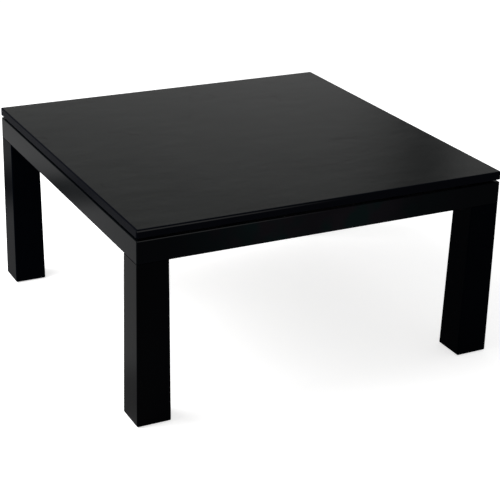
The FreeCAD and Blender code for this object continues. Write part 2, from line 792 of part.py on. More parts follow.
def wire_layer(name, plane, across_plane, axis, rise, count):
    """One layer of the guard: a row of equal bent wires, each lying on the lip at both ends and dipping in
    the middle, between two straight rim wires."""
    body = new_body(name, z="bar_bottom")
    side = -1 if plane == "XZ_Plane" else 1
    span = "guard_flat - 2 * wire_diameter"
    shift = f"{side} * ({span}) / 2"
    seat = f"wire_seat + {rise}"
    path = new_sketch(body, "path", plane, f"-{shift}")
    heights = [("guard_reach", seat), ("guard_bend", seat), ("guard_flat", f"{seat} - guard_dip")]
    points = [(f"-{width} / 2", height) for width, height in heights]
    points += [(f"{width} / 2", height) for width, height in reversed(heights)]
    places = [FreeCAD.Vector(value(x), value(y), 0) for x, y in points]
    for index, (start, end) in enumerate(zip(places, places[1:])):
        path.addGeometry(Part.LineSegment(start, end), False)
        pin(path, "DistanceX", index, START, points[index][0])
        pin(path, "DistanceY", index, START, points[index][1])
        if index:
            path.addConstraint(Sketcher.Constraint("Coincident", index - 1, END, index, START))
    pin(path, "DistanceX", index, END, points[-1][0])
    pin(path, "DistanceY", index, END, points[-1][1])
    section = new_sketch(body, "section", across_plane, f"{side} * guard_reach / 2")
    pipe = body.newObject("PartDesign::AdditivePipe", f"{name}_pipe")
    pipe.Profile = regular_outline(section, "wire_diameter", WIRE_FACE_COUNT, f"-({span}) / 2", seat)
    pipe.Spine = path
    pipe.Transition = "Right corner"
    doc.recompute()
    repeat(body, pipe, axis, span, count)
    rims = new_sketch(body, "rims", across_plane)
    for end in SIDES:
        regular_outline(rims, "wire_diameter", WIRE_FACE_COUNT, f"{end} * guard_rim / 2", seat)
    pad(body, rims, "guard_reach", both_ways=True)
    return body


def heater_guard():
    """Wire guard of two layers, the upper lying crosswise on the lower and welded where they cross."""
    lower = wire_layer("long_wires", "XZ_Plane", "YZ_Plane", "Y_Axis", "0", LONG_WIRE_COUNT)
    upper = wire_layer("cross_wires", "YZ_Plane", "XZ_Plane", "X_Axis", "wire_diameter", CROSS_WIRE_COUNT)
    keep(group("guard", [lower, upper]), "heater_guard")


def reflector():
    """Bright plate across the case with a lip, a trough over each tube and a collared hole for the fan."""
    body = new_body("reflector", z="bar_bottom")
    width = "case_inner - 2 * fit_clearance"
    radius = "case_radius - sheet - fit_clearance"
    pad(body, rounded_rectangle(new_sketch(body, "plate", offset="reflector_level"), width, width, radius),
        "reflector_lip")
    inside = rounded_rectangle(new_sketch(body, "inside", offset="reflector_level + reflector_lip"),
                               f"{width} - 2 * sheet", f"{width} - 2 * sheet", f"{radius} - sheet")
    pocket(body, inside, "reflector_lip - sheet")
    pad(body, circle(new_sketch(body, "collar", offset="reflector_level"), "fan_hole + 2 * sheet"),
        "sheet + fan_collar")
    arches = new_sketch(body, "arches", "YZ_Plane")
    hollows = new_sketch(body, "hollows", "YZ_Plane")
    for side in SIDES:
        circle(arches, "2 * trough_radius + 2 * sheet", f"{side} * tube_row", "tube_level")
        circle(hollows, "2 * trough_radius", f"{side} * tube_row", "tube_level")
    pad(body, arches, "2 * bracket_seat - 2 * trough_gap", both_ways=True)
    pocket(body, hollows, "2 * bracket_seat - 2 * trough_gap", both_ways=True)
    below = rectangle(new_sketch(body, "below", offset="reflector_level"), "case_width", "case_width")
    pocket(body, below, "2 * trough_radius")
    pocket(body, circle(new_sketch(body, "fan_hole", offset="case_rise"), "fan_hole"), "case_rise")
    keep(body, "reflector")


def tube_holders():
    """Angle brackets spot-welded under the reflector, with the ceramic caps of the tubes in their holes."""
    body = new_body("bracket_form")
    low = "reflector_level - bracket_drop"
    foot = "reflector_level - bracket_sheet"
    toe = "bracket_seat + bracket_foot"
    profile = [("bracket_seat", low), ("bracket_face", low), ("bracket_face", foot), (toe, foot),
               (toe, "reflector_level"), ("bracket_seat", "reflector_level")]
    pad(body, polygon(new_sketch(body, "profile", "XZ_Plane"), profile), "2 * (tube_row + bracket_overlap)",
        both_ways=True)
    holes = new_sketch(body, "cap_holes", "YZ_Plane")
    hole_width = "cap_width + 2 * fit_clearance"
    for side in SIDES:
        rectangle(holes, hole_width, hole_width, f"{side} * tube_row", "tube_level")
    pocket(body, holes, toe, upward=True)
    for label, turn in (("right_tube_bracket", 0), ("left_tube_bracket", 180)):
        keep(copy_of(body, f"{label}_copy", z="bar_bottom", turn=turn), label)

    cap = new_body("cap")
    pad(cap, rectangle(new_sketch(cap, "flange"), "cap_flange", "cap_flange"), "cap_flange_thickness")
    pad(cap, rectangle(new_sketch(cap, "plug"), "cap_width", "cap_width"), "cap_reach", downward=True)
    bore = circle(new_sketch(cap, "bore", offset="-cap_reach"), "tube_diameter + 2 * fit_clearance")
    pocket(cap, bore, "cap_reach - cap_floor", upward=True)
    tab = box("tube_tab", "blade_terminal_width", "blade_terminal_thickness", "blade_terminal_length",
              z="cap_flange_thickness")
    level = "bar_bottom + tube_level"
    caps = []
    tabs = []
    coils = []
    for side_y, tube in zip(SIDES, ("front", "rear")):
        row = f"{side_y} * tube_row"
        start = ("-(tube_length) / 2", row, level)
        glass = ring(f"{tube}_tube", "tube_diameter", "tube_diameter - 2 * tube_wall", "tube_length", *start,
                     axis="x")
        keep(glass, f"{tube}_quartz_tube")
        coils.append(rod(f"{tube}_coil", "coil_diameter", "tube_length", *start, axis="x"))
        for side_x, axis in zip(SIDES, ("-x", "x")):
            end = (f"{side_x} * bracket_face", row, level)
            caps.append(copy_of(cap, "cap_copy", *end, axis=axis))
            tabs.append(copy_of(tab, "tube_tab_copy", *end, axis=axis))
    keep(group("coils", coils), "heating_coils")
    keep(group("caps", caps), "tube_end_caps")
    keep(group("tabs", tabs), "tube_terminal_tabs")


def heater_screws():
    form = hex_screw("heater_screw", "heater_screw_diameter", "heater_screw_length", "heater_screw_head",
                 "heater_screw_head_height")
    seat = "bar_bottom - 2 * sheet"
    keep(group("heater_screw_group", [copy_of(form, "heater_screw_copy", x, y, seat)
                                      for x, y in heater_screw_places()]), "heater_mounting_screws")


def fan_motor():
    """Flat shaded-pole motor under the case ceiling: stack, winding, bridges, bushes, spacers and screws."""
    stack = new_body("motor_stack", z="bar_bottom")
    middle = "(stack_front - stack_back) / 2"
    pad(stack, rectangle(new_sketch(stack, "plan", offset="stack_bottom"), "stack_front + stack_back",
                         "stack_width", middle), "stack_thickness")
    openings = new_sketch(stack, "openings", offset="stack_top")
    circle(openings, "rotor_bore")
    rectangle(openings, "limb_start - window_start", "window_width", "(limb_start + window_start) / 2")
    for side in SIDES:
        circle(openings, "motor_screw_bore", y=f"{side} * motor_screw_spread / 2")
    pocket(stack, openings, "stack_thickness")
    keep(stack, "motor_stack")

    winding = box("winding_blank", "limb_width + 2 * winding_thickness", "winding_width",
                  "stack_thickness + 2 * winding_overhang", "limb_start + limb_width / 2", "0",
                  "bar_bottom + stack_bottom - winding_overhang")
    limb = box("limb", "limb_width + 2 * fit_clearance", "winding_width + 2 * overrun",
               "stack_thickness + 2 * fit_clearance", "limb_start + limb_width / 2", "0",
               "bar_bottom + stack_bottom - fit_clearance")
    keep(cut("winding", winding, limb), "motor_winding")

    bridges = []
    bushes = []
    for name, bottom, seat, axis in (("upper", "stack_top", "upper_bridge_top", "-z"),
                                     ("lower", "lower_bridge_bottom", "lower_bridge_bottom", "z")):
        strip = new_body(f"{name}_bridge", z="bar_bottom")
        plan = rectangle(new_sketch(strip, "plan", offset=bottom), "bridge_width", "stack_width")
        circle(plan, "bush_diameter + 2 * fit_clearance")
        for side in SIDES:
            circle(plan, "motor_screw_bore", y=f"{side} * motor_screw_spread / 2")
        pad(strip, plan, "bridge_thickness")
        bridges.append(strip)
        bushes.append(ring(f"{name}_bush", "bush_diameter", "shaft_bore", "bush_length",
                           z=f"bar_bottom + {seat}", axis=axis))
    keep(group("bridges", bridges), "motor_bearing_bridges")
    keep(group("bushes", bushes), "motor_bushes")

    spacers = []
    screws = []
    for side in SIDES:
        spot = f"{side} * motor_screw_spread / 2"
        bar = hexagon("spacer_bar", "spacer_width", "motor_spacer")
        bore = rod("spacer_bore", "motor_screw_bore", "motor_spacer + 2 * overrun",
                   z="-overrun")
        spacers.append(place(cut("spacer", bar, bore), "0", spot, "bar_bottom + upper_bridge_top"))
        form = hex_screw("motor_screw", "motor_screw_diameter", "case_rise - lower_bridge_bottom",
                         "motor_screw_head", "motor_screw_head_height")
        screws.append(place(form, "0", spot, "bar_bottom + lower_bridge_bottom"))
    keep(group("spacers", spacers), "motor_spacers")
    keep(group("screws", screws), "motor_screws")


def blade_outline(sketch):
    """Flat blade along the sketch's X: narrow in the hub, wider outwards, its tip round about the shaft."""
    root = value("blade_root")
    root_half = value("blade_root_width / 2")
    tip_half = value("blade_tip_width / 2")
    reach = value("fan_diameter / 2")
    swing = math.asin(tip_half / reach)
    low_tip = FreeCAD.Vector(reach * math.cos(swing), -tip_half, 0)
    high_tip = FreeCAD.Vector(reach * math.cos(swing), tip_half, 0)
    low_root = FreeCAD.Vector(root, -root_half, 0)
    high_root = FreeCAD.Vector(root, root_half, 0)
    low_edge = sketch.addGeometry(Part.LineSegment(low_root, low_tip), False)
    tip = sketch.addGeometry(Part.ArcOfCircle(Part.Circle(FreeCAD.Vector(), UP, reach), -swing, swing), False)
    high_edge = sketch.addGeometry(Part.LineSegment(high_tip, high_root), False)
    root_edge = sketch.addGeometry(Part.LineSegment(high_root, low_root), False)
    edges = [low_edge, tip, high_edge, root_edge]
    for edge, following in zip(edges, edges[1:] + edges[:1]):
        sketch.addConstraint(Sketcher.Constraint("Coincident", edge, END, following, START))
    sketch.addConstraint(Sketcher.Constraint("Coincident", tip, CENTRE, -1, START))
    size = sketch.addConstraint(Sketcher.Constraint("Radius", tip, reach))
    bind(sketch, f"Constraints[{size}]", "fan_diameter / 2")
    pin(sketch, "DistanceY", tip, START, "-blade_tip_width / 2")
    pin(sketch, "DistanceY", tip, END, "blade_tip_width / 2")
    pin(sketch, "DistanceX", root_edge, START, "blade_root")
    pin(sketch, "DistanceY", root_edge, START, "blade_root_width / 2")
    pin(sketch, "DistanceX", root_edge, END, "blade_root")
    pin(sketch, "DistanceY", root_edge, END, "-blade_root_width / 2")
    return sketch


def fan():
    """What turns: the rotor, the shaft and a propeller with pitched blades that widen outwards."""
    keep(ring("rotor", "rotor_bore - 2 * air_gap", "shaft_bore", "rotor_thickness",
              z="bar_bottom + rotor_bottom"), "motor_rotor")
    keep(rod("shaft", "shaft_diameter", "shaft_length", z="bar_bottom + shaft_bottom"), "fan_shaft")
    body = new_body("fan_impeller", z="bar_bottom")
    pad(body, circle(new_sketch(body, "hub", offset="hub_level"), "hub_diameter"), "hub_height")
    sketch = new_sketch(body, "blade", offset="blade_level")
    sketch.AttachmentOffset.Rotation = FreeCAD.Rotation(FreeCAD.Vector(1, 0, 0), value("blade_pitch_angle"))
    bind(sketch, "AttachmentOffset.Rotation.Angle", "blade_pitch_angle")
    blade = pad(body, blade_outline(sketch), "blade_thickness", both_ways=True)
    wheel = body.newObject("PartDesign::PolarPattern", "blade_ring")
    wheel.Originals = [blade]
    wheel.Axis = (next(item for item in body.Origin.OriginFeatures if item.Role == "Z_Axis"), [""])
    wheel.Angle = 360
    wheel.Occurrences = BLADE_COUNT
    body.Tip = wheel
    doc.recompute()
    pocket(body, circle(new_sketch(body, "bore", offset="case_rise"), "shaft_bore"),
           "case_rise")
    keep(body, "fan_impeller")


def heater_electrics():
    """Thermostat, thermal fuse and terminal block on the reflector, and the cord inlet in the rear wall."""
    floor = "bar_bottom + reflector_top"
    spot = ("-thermostat_distance", "0", floor)
    base = box("thermostat_base", "thermostat_base_width", "thermostat_base_length",
               "thermostat_base_thickness", *spot)
    cup = rod("thermostat_cup", "thermostat_diameter", "thermostat_height", *spot)
    tabs = [box("thermostat_tab", "blade_terminal_thickness", "blade_terminal_width",
                "thermostat_height + blade_terminal_length",
                f"-thermostat_distance + {side} * blade_terminal_spread / 2", "0", floor) for side in SIDES]
    keep(fuse("thermostat_form", base, cup, *tabs), "thermostat")
    keep(rod("fuse_form", "fuse_diameter", "fuse_length", "-fuse_distance", "-fuse_length / 2",
             f"{floor} + fuse_diameter / 2 + fit_clearance", axis="y"), "thermal_fuse")
    body = new_body("terminal_block", "terminal_block_distance", "0", floor)
    pad(body, rectangle(new_sketch(body, "plan"), "terminal_block_length", "terminal_block_width"),
        "terminal_block_height")
    row = f"{WELL_COUNT - 1} * terminal_well_pitch"
    wells = new_sketch(body, "wells", offset="terminal_block_height")
    rectangle(wells, "terminal_well", "terminal_well", y=f"-{row} / 2")
    first = pocket(body, wells, "terminal_well_depth")
    repeat(body, first, "Y_Axis", row, WELL_COUNT)
    keep(body, "terminal_block")

    socket = new_body("inlet_socket", "inlet_row", "0", "bar_bottom + inlet_level")
    through = "cover_width / 2 - inlet_depth"
    neck = rectangle(new_sketch(socket, "neck", "XZ_Plane", f"-({through})"),
                     "inlet_width - 2 * fit_clearance", "inlet_height - 2 * fit_clearance")
    pad(socket, neck, "inlet_depth", downward=True)
    flange = rectangle(new_sketch(socket, "flange", "XZ_Plane", "-cover_width / 2"),
                       "inlet_width + 2 * inlet_flange_margin", "inlet_height + 2 * inlet_flange_margin")
    pad(socket, flange, "inlet_flange_thickness", downward=True)
    recess = new_sketch(socket, "recess", "XZ_Plane", "-inlet_face")
    rectangle(recess, "inlet_width - 2 * inlet_wall", "inlet_height - 2 * inlet_wall + inlet_pin_thickness")
    pocket(socket, recess, "inlet_recess", upward=True)
    keep(socket, "inlet_socket")
    keep(group("inlet_pin_group", [
        box("inlet_pin", "inlet_pin_thickness", "inlet_pin_length", "inlet_pin_width",
            f"inlet_row + {side} * inlet_pin_spread / 2", "inlet_floor + inlet_pin_length / 2",
            "bar_bottom + inlet_level - inlet_pin_width / 2") for side in SIDES]), "inlet_pins")


wedges = {side: mitre(side) for side in ("front", "right", "rear", "left")}
tabletop(wedges)
aprons(wedges)
crossbars()
corner_blocks()
legs()
leg_hardware()
heater_case()
heater_cover()
heater_guard()
reflector()
tube_holders()
heater_screws()
fan_motor()
fan()
heater_electrics()
doc.recompute()

for item in doc.Objects:
    if "Invalid" in item.State or "Error" in item.State:
        raise RuntimeError(f"{item.Name} failed: {item.State}")
for item in nodes:
    if item.Shape.isNull() or not item.Shape.isValid() or not item.Shape.Solids:
        raise RuntimeError(f"{item.Label} has no valid shape")
os.makedirs("parts", exist_ok=True)
for item in nodes:
    item.Shape.exportStep(f"parts/{item.Label}.step")
    print(item.Label, len(item.Shape.Solids), round(item.Shape.Volume, 1))
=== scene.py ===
import math

import bmesh
import bpy
from mathutils import Matrix, Vector


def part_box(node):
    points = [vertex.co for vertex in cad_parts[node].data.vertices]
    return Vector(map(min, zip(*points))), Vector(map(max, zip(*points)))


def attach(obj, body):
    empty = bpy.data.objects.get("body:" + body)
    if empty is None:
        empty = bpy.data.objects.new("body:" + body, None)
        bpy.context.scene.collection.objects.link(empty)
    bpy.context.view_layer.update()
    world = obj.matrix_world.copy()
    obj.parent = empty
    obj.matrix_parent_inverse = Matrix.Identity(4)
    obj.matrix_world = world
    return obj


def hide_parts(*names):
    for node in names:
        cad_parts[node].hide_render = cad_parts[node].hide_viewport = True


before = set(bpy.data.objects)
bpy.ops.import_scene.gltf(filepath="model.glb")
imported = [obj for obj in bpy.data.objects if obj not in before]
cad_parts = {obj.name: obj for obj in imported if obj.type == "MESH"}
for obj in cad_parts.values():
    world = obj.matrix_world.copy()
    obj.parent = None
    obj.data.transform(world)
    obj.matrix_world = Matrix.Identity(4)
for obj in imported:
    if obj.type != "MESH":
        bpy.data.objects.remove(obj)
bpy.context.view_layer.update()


# Legs
# Four solid hardwood legs, a little wider towards the floor on the inner sides, bolted up under the corners.
# The grain is filled, sprayed with black lacquer and polished. The front right and rear left legs get a copy
# of it that reflects less and has a lighter base: painted shade and light for how those two are lit.

class Amount:
    """A number, colour or place on its way through a node tree; a sum written on it adds a Math node."""

    def __init__(self, tree, socket):
        self.tree = tree
        self.socket = socket

    def reckon(self, operation, first, second):
        return self.tree.node("ShaderNodeMath", {"operation": operation}, {0: first, 1: second})

    def __add__(self, other):
        return self.reckon("ADD", self, other)

    def __sub__(self, other):
        return self.reckon("SUBTRACT", self, other)

    def __rsub__(self, other):
        return self.reckon("SUBTRACT", other, self)

    def __mul__(self, other):
        return self.reckon("MULTIPLY", self, other)

    def __truediv__(self, other):
        return self.reckon("DIVIDE", self, other)

    def __rtruediv__(self, other):
        return self.reckon("DIVIDE", other, self)

    def __pow__(self, other):
        return self.reckon("POWER", self, other)

    def __rpow__(self, other):
        return self.reckon("POWER", other, self)

    def __gt__(self, other):
        return self.reckon("GREATER_THAN", self, other)

    def __lt__(self, other):
        return self.reckon("LESS_THAN", self, other)

    def __abs__(self):
        return self.tree.node("ShaderNodeMath", {"operation": "ABSOLUTE"}, {0: self})

    __radd__ = __add__
    __rmul__ = __mul__


class NodeTree:
    """A node tree being built, with one way to add any node."""

    def __init__(self, tree):
        self.tree = tree

    def connect(self, socket, value):
        if isinstance(value, Amount):
            self.tree.links.new(value.socket, socket)
        else:
            socket.default_value = value

    def node(self, kind, settings=None, sockets=None, output=0):
        made = self.tree.nodes.new(kind)
        for name, setting in (settings or {}).items():
            if name == "stops":
                ramp = made.color_ramp.elements
                for index, (place, colour) in enumerate(setting):
                    stop = ramp[index] if index < len(ramp) else ramp.new(place)
                    stop.position = place
                    stop.color = (*colour, 1)
            else:
                setattr(made, name, setting)
        for name, value in (sockets or {}).items():
            self.connect(made.inputs[name], value)
        return Amount(self, made.outputs[output])


class Finish(NodeTree):
    """A material around one main shader, with the textures that several finishes share."""

    def __init__(self, name, **fixed):
        self.material = bpy.data.materials.new(name)
        self.material.use_nodes = True
        super().__init__(self.material.node_tree)
        self.shader = self.tree.nodes["Principled BSDF"]
        for socket, value in fixed.items():
            self.shader.inputs[socket.replace("_", " ")].default_value = value
        self.place = self.node("ShaderNodeTexCoord", output="Object")

    def stretched(self, x, y, z):
        """The place on the piece, in metres, with each axis drawn out or squeezed."""
        return self.node("ShaderNodeMapping", {"vector_type": "POINT"}, {
            "Vector": self.place, "Scale": (x, y, z)})

    def axis(self, letter, vector=None):
        """One coordinate of the place on the piece, or of another vector."""
        return self.node("ShaderNodeSeparateXYZ", {}, {0: vector or self.place}, output=letter)

    def eased(self, amount, start, end, low=0.0, high=1.0):
        """Low until the amount reaches its start, high past its end, and a smooth way between them."""
        return self.node("ShaderNodeMapRange", {"interpolation_type": "SMOOTHSTEP"}, {
            "Value": amount, "From Min": start, "From Max": end, "To Min": low, "To Max": high})

    def noise(self, scale, place=None, detail=2, roughness=0.5, distortion=0):
        return self.node("ShaderNodeTexNoise", {}, {
            "Vector": place or self.place, "Scale": scale, "Detail": detail, "Roughness": roughness,
            "Distortion": distortion})

    def colours(self, amount, *stops):
        return self.node("ShaderNodeValToRGB", {"stops": stops}, {0: amount})

    def mix(self, share, first, second):
        return self.node("ShaderNodeMix", {"data_type": "RGBA"}, {0: share, 6: first, 7: second}, output=2)

    def bumped(self, height, depth, under=None):
        sockets = {"Strength": 1, "Distance": depth, "Height": height}
        if under:
            sockets["Normal"] = under
        return self.node("ShaderNodeBump", {}, sockets)

    def feed(self, **inputs):
        for socket, value in inputs.items():
            self.connect(self.shader.inputs[socket.replace("_", " ")], value)
        return self.material


def dress(material, *nodes):
    for node in nodes:
        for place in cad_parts[node].material_slots:
            place.material = material


def lacquer(name, dark, light, gloss, level, peel=0.00001, shine=0, line=(0, 0), wear_and_reflection=None):
    """Sprayed black lacquer: a little cloudy in depth, with a faint ripple and a few dust nibs.
    Shine is a painted highlight: a clear coat only on forward-facing parts between two heights, strongest
    towards the left, that shows as a glint line.
    The last colour, if given, is painted reflection: patches of it over the light tone, and then it is cloudy
    only about the middle."""
    finish = Finish(name, Specular_IOR_Level=level)
    cloud = finish.noise(9, detail=3)
    fine = finish.noise(260, detail=2)
    nibs = finish.noise(900, detail=1) ** 12
    ripple = finish.bumped(fine, peel)
    # Painted highlight: a coat only where the surface faces forward between the two heights, fading towards
    # the right.
    if shine:
        low, high = line
        height = finish.axis("Z")
        forward = finish.axis("Y", finish.node("ShaderNodeNewGeometry", output="Normal"))
        arris = (height > low) * (height < high) * (forward < -0.15)
        reach = finish.eased(finish.axis("X") + 0.06 * cloud, 0.10, -0.24)
        finish.feed(Coat_Weight=arris * reach * shine)
    light = (*light, 1)
    # Painted reflection: lighter patches of a second colour, with the cloud strong only about the middle.
    if wear_and_reflection:
        patches = (finish.noise(17, detail=2) - 0.47) * 7
        light = finish.mix(patches, light, (*wear_and_reflection, 1))
        from_middle = abs(finish.axis("X") + 0.01)
        cloud = cloud * finish.eased(from_middle, 0.34, 0.06, high=1.4)
    return finish.feed(
        Base_Color=finish.mix(cloud, (*dark, 1), light),
        Roughness=gloss + 0.05 * cloud + 0.03 * fine,
        Normal=finish.bumped(nibs, 0.00004, ripple))


dress(lacquer("leg_lacquer", dark=(0.0001, 0.0002, 0.0006), light=(0.0004, 0.0006, 0.0012),
              gloss=0.06, level=0.0077), "front_left_leg", "rear_right_leg")
# Painted shade and light: a copy of the leg lacquer that reflects less and has a lighter base, for the front
# right and rear left legs.
dress(lacquer("dull_leg_lacquer", dark=(0.0003, 0.0006, 0.0013), light=(0.0008, 0.0013, 0.0025),
              gloss=0.08, level=0.0022), "front_right_leg", "rear_left_leg")


# Aprons
# Four boards of the same wood and lacquer as the legs, mitred and glued round the frame, flush with the legs.
# Their upper outer arris is eased, and the crossbars are tenoned into their inner faces.

apron_dark = (0.0012, 0.0016, 0.0024)
apron_light = (0.0016, 0.0023, 0.0028)
# Painted reflection: the front apron's teal light tone and its warmer patches about the middle.
painted_reflection_teal = (0.0038, 0.0086, 0.0090)
painted_reflection_warm = (0.0080, 0.0070, 0.0090)
# Heights of the painted highlight line along the front apron's upper arris.
apron_glint_heights = (0.3575, 0.3592)
dress(lacquer("apron_lacquer", apron_dark, apron_light, gloss=0.07, level=0.0079),
      "right_apron", "rear_apron", "left_apron")
# Front apron: painted highlight along its upper arris, fading towards the right, and painted reflection about
# its middle.
dress(lacquer("front_apron_lacquer", apron_dark, painted_reflection_teal, gloss=0.07, level=0.0072, shine=0.42,
              line=apron_glint_heights, wear_and_reflection=painted_reflection_warm), "front_apron")


# Crossbars and corner blocks
# Two bars each way, planed and left bare, half-lapped where they cross and tenoned into the aprons.
# A block of the same wood is glued and screwed into each mitre, and takes the leg bolt.

def planed_wood(name, early, late, along):
    """Planed wood with its growth lines along one axis, and pores that catch a little shade."""
    finish = Finish(name)
    grain_place, pore_place = [finish.stretched(*[squeeze if axis == along else 1 for axis in "xyz"])
                               for squeeze in (0.06, 0.02)]
    waves = finish.noise(55, grain_place, detail=2, distortion=0.4)
    rings = finish.node("ShaderNodeMath", {"operation": "PINGPONG"}, {0: waves * 9, 1: 0.5}) * 2
    pores = finish.noise(1500, pore_place, detail=1)
    pits = pores > 0.62
    tone = finish.mix(rings ** 1.6, (*early, 1), (*late, 1))
    pored = finish.node("ShaderNodeMix", {"data_type": "RGBA", "blend_type": "MULTIPLY"}, {
        0: pits * 0.35, 6: tone, 7: (0.45, 0.36, 0.27, 1)}, output=2)
    return finish.feed(
        Base_Color=pored,
        Roughness=0.55 + 0.2 * pores,
        Normal=finish.bumped(rings * 0.4 - pits, 0.00006))


bar_early = (0.50, 0.355, 0.205)
bar_late = (0.36, 0.225, 0.115)
dress(planed_wood("crossbar_wood_y", bar_early, bar_late, "y"), "left_crossbar", "right_crossbar")
dress(planed_wood("crossbar_wood_x", bar_early, bar_late, "x"), "front_crossbar", "rear_crossbar")
dress(planed_wood("corner_block_wood", (0.47, 0.33, 0.19), (0.33, 0.20, 0.10), "z"),
      "front_left_corner_block", "front_right_corner_block",
      "rear_right_corner_block", "rear_left_corner_block")


# Corner block screws
# Two countersunk cross-head wood screws through each block into the aprons, of yellow-passivated steel.
# They hold the block while its glue sets, and stay in.

class Pattern(NodeTree):
    """A Geometry Nodes tree for what repeats, with named sizes."""

    def __init__(self, name, **sizes):
        super().__init__(bpy.data.node_groups.new(name, "GeometryNodeTree"))
        kinds = {float: "NodeSocketFloat", int: "NodeSocketInt", bpy.types.Object: "NodeSocketObject"}
        for label, value in sizes.items():
            kind = next(kinds[each] for each in kinds if isinstance(value, each))
            self.tree.interface.new_socket(label, in_out="INPUT", socket_type=kind)
        self.tree.interface.new_socket("Geometry", in_out="OUTPUT", socket_type="NodeSocketGeometry")
        entry = self.tree.nodes.new("NodeGroupInput")
        for label in sizes:
            setattr(self, label, Amount(self, entry.outputs[label]))
        self.values = sizes

    def point(self, x, y, z):
        return self.node("ShaderNodeCombineXYZ", {}, {0: x, 1: y, 2: z})

    def wire(self, curve, thickness, sides):
        """A round wire along a curve."""
        ring = self.node("GeometryNodeCurvePrimitiveCircle", {"mode": "RADIUS"}, {
            "Resolution": sides, "Radius": thickness / 2})
        rod = self.node("GeometryNodeCurveToMesh", {}, {
            "Curve": curve, "Profile Curve": ring, "Fill Caps": True})
        return self.node("GeometryNodeSetShadeSmooth", {}, {"Geometry": rod, "Shade Smooth": True})

    def grow(self, piece_name, geometry, material):
        """End the tree, run it once and keep what it makes as a plain mesh piece."""
        real = self.node("GeometryNodeRealizeInstances", {}, {"Geometry": geometry})
        done = self.node("GeometryNodeSetMaterial", {}, {"Geometry": real, "Material": material})
        leave = self.tree.nodes.new("NodeGroupOutput")
        self.tree.links.new(done.socket, leave.inputs["Geometry"])
        carrier = set_out(f"{piece_name}_carrier", bpy.data.meshes.new(f"{piece_name}_carrier"))
        modifier = carrier.modifiers.new("pattern", "NODES")
        modifier.node_group = self.tree
        for item in self.tree.interface.items_tree:
            if item.in_out == "INPUT":
                modifier[item.identifier] = self.values[item.name]
        bpy.context.view_layer.update()
        grown = carrier.evaluated_get(bpy.context.evaluated_depsgraph_get())
        mesh = bpy.data.meshes.new_from_object(grown)
        carrier.modifiers.remove(modifier)
        bpy.data.objects.remove(carrier)
        return piece(piece_name, mesh)


def set_out(name, data):
    """A new object in the scene, made of a mesh, a light or a camera."""
    made = bpy.data.objects.new(name, data)
    bpy.context.scene.collection.objects.link(made)
    return made


def piece(name, mesh, body="frame", material=None):
    """A mesh as a piece of the table that moves with one body."""
    mesh.name = name
    made = set_out(name, mesh)
    if material:
        mesh.materials.clear()
        mesh.materials.append(material)
    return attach(made, body)


def mesh_of(build):
    """A closed mesh from what a function adds to an empty bmesh."""
    work = bmesh.new()
    build(work)
    bmesh.ops.remove_doubles(work, verts=work.verts, dist=1e-6)
    bmesh.ops.recalc_face_normals(work, faces=work.faces)
    mesh = bpy.data.meshes.new("piece")
    work.to_mesh(mesh)
    work.free()
    return mesh


def turn_profile(work, profile, sides=24, bored=False):
    """Lathe a profile of (radius, height) pairs about the vertical, with flat ends or bored through."""
    rings = [[work.verts.new((radius * math.cos(math.tau * step / sides),
                              radius * math.sin(math.tau * step / sides), height)) for step in range(sides)]
             for radius, height in profile]
    for low, high in zip(rings, rings[1:] + (rings[:1] if bored else [])):
        for step in range(sides):
            following = (step + 1) % sides
            work.faces.new((low[step], low[following], high[following], high[step]))
    if not bored:
        work.faces.new(rings[0])
        work.faces.new(list(reversed(rings[-1])))


def smooth_shaded(mesh, angle):
    """Shade smooth, but keep edges sharper than an angle in degrees."""
    mesh.shade_smooth()
    work = bmesh.new()
    work.from_mesh(mesh)
    for edge in work.edges:
        edge.smooth = edge.is_manifold and edge.calc_face_angle(0) < math.radians(angle)
    work.to_mesh(mesh)
    work.free()
    return mesh


def screw_head(name, profile, recess_width, recess_reach, recess_depth, recess_taper=0.45):
    """A turned screw head, top towards +Z, with a cross recess cut into it that narrows downwards."""
    head_mesh = mesh_of(lambda work: turn_profile(work, profile))
    head = bpy.data.objects.new(name, head_mesh)
    top = max(height for radius, height in profile)

    for length, width in ((recess_reach, recess_width), (recess_width, recess_reach)):
        def bar(work, length=length, width=width):
            form = bmesh.ops.create_cube(work, size=1)
            for vertex in form["verts"]:
                share = 1 if vertex.co.z > 0 else recess_taper
                vertex.co.x *= length * share
                vertex.co.y *= width * share
                vertex.co.z = top + (recess_depth if vertex.co.z > 0 else -recess_depth)

        tool = set_out(f"{name}_recess", mesh_of(bar))
        bpy.context.scene.collection.objects.link(head)
        carve = head.modifiers.new("recess", "BOOLEAN")
        carve.object = tool
        carve.operation = "DIFFERENCE"
        carve.solver = "EXACT"
        bpy.context.view_layer.update()
        carved = head.evaluated_get(bpy.context.evaluated_depsgraph_get())
        head.data = bpy.data.meshes.new_from_object(carved)
        head.modifiers.remove(carve)
        bpy.data.objects.remove(tool)
        bpy.context.scene.collection.objects.unlink(head)
    smooth_shaded(head.data, 30)
    return head


def metal(name, colour, tint, rough, streak=(1, 1, 1), scale=300, depth=0.00001):
    """Bare or plated metal: base tone that drifts a little, and fine marks drawn out along its making."""
    finish = Finish(name, Metallic=1.0)
    drift = finish.noise(25, detail=3)
    marks = finish.noise(scale, finish.stretched(*streak), detail=3, roughness=0.6)
    return finish.feed(
        Base_Color=finish.mix(drift, (*colour, 1), (*tint, 1)),
        Roughness=rough + 0.16 * (marks - 0.5) + 0.08 * drift,
        Normal=finish.bumped(marks, depth))


block_screw_steel = metal("block_screw_steel", (0.62, 0.50, 0.26), (0.52, 0.46, 0.30), 0.3)
block_screw_radius = 0.0038
block_screw_heights = (0.3245, 0.3405)
block_screw = screw_head("block_screw", [
    (0.0012, -0.0030), (0.0014, -0.0026), (block_screw_radius, -0.0003), (block_screw_radius, 0.0),
    (0.0030, 0.0003), (0.0010, 0.0005)], recess_width=0.0010, recess_reach=0.0042, recess_depth=0.0016)
apron_outer = 0.3744
block_near = 0.018
block_far = 0.061
block_cut = 0.014


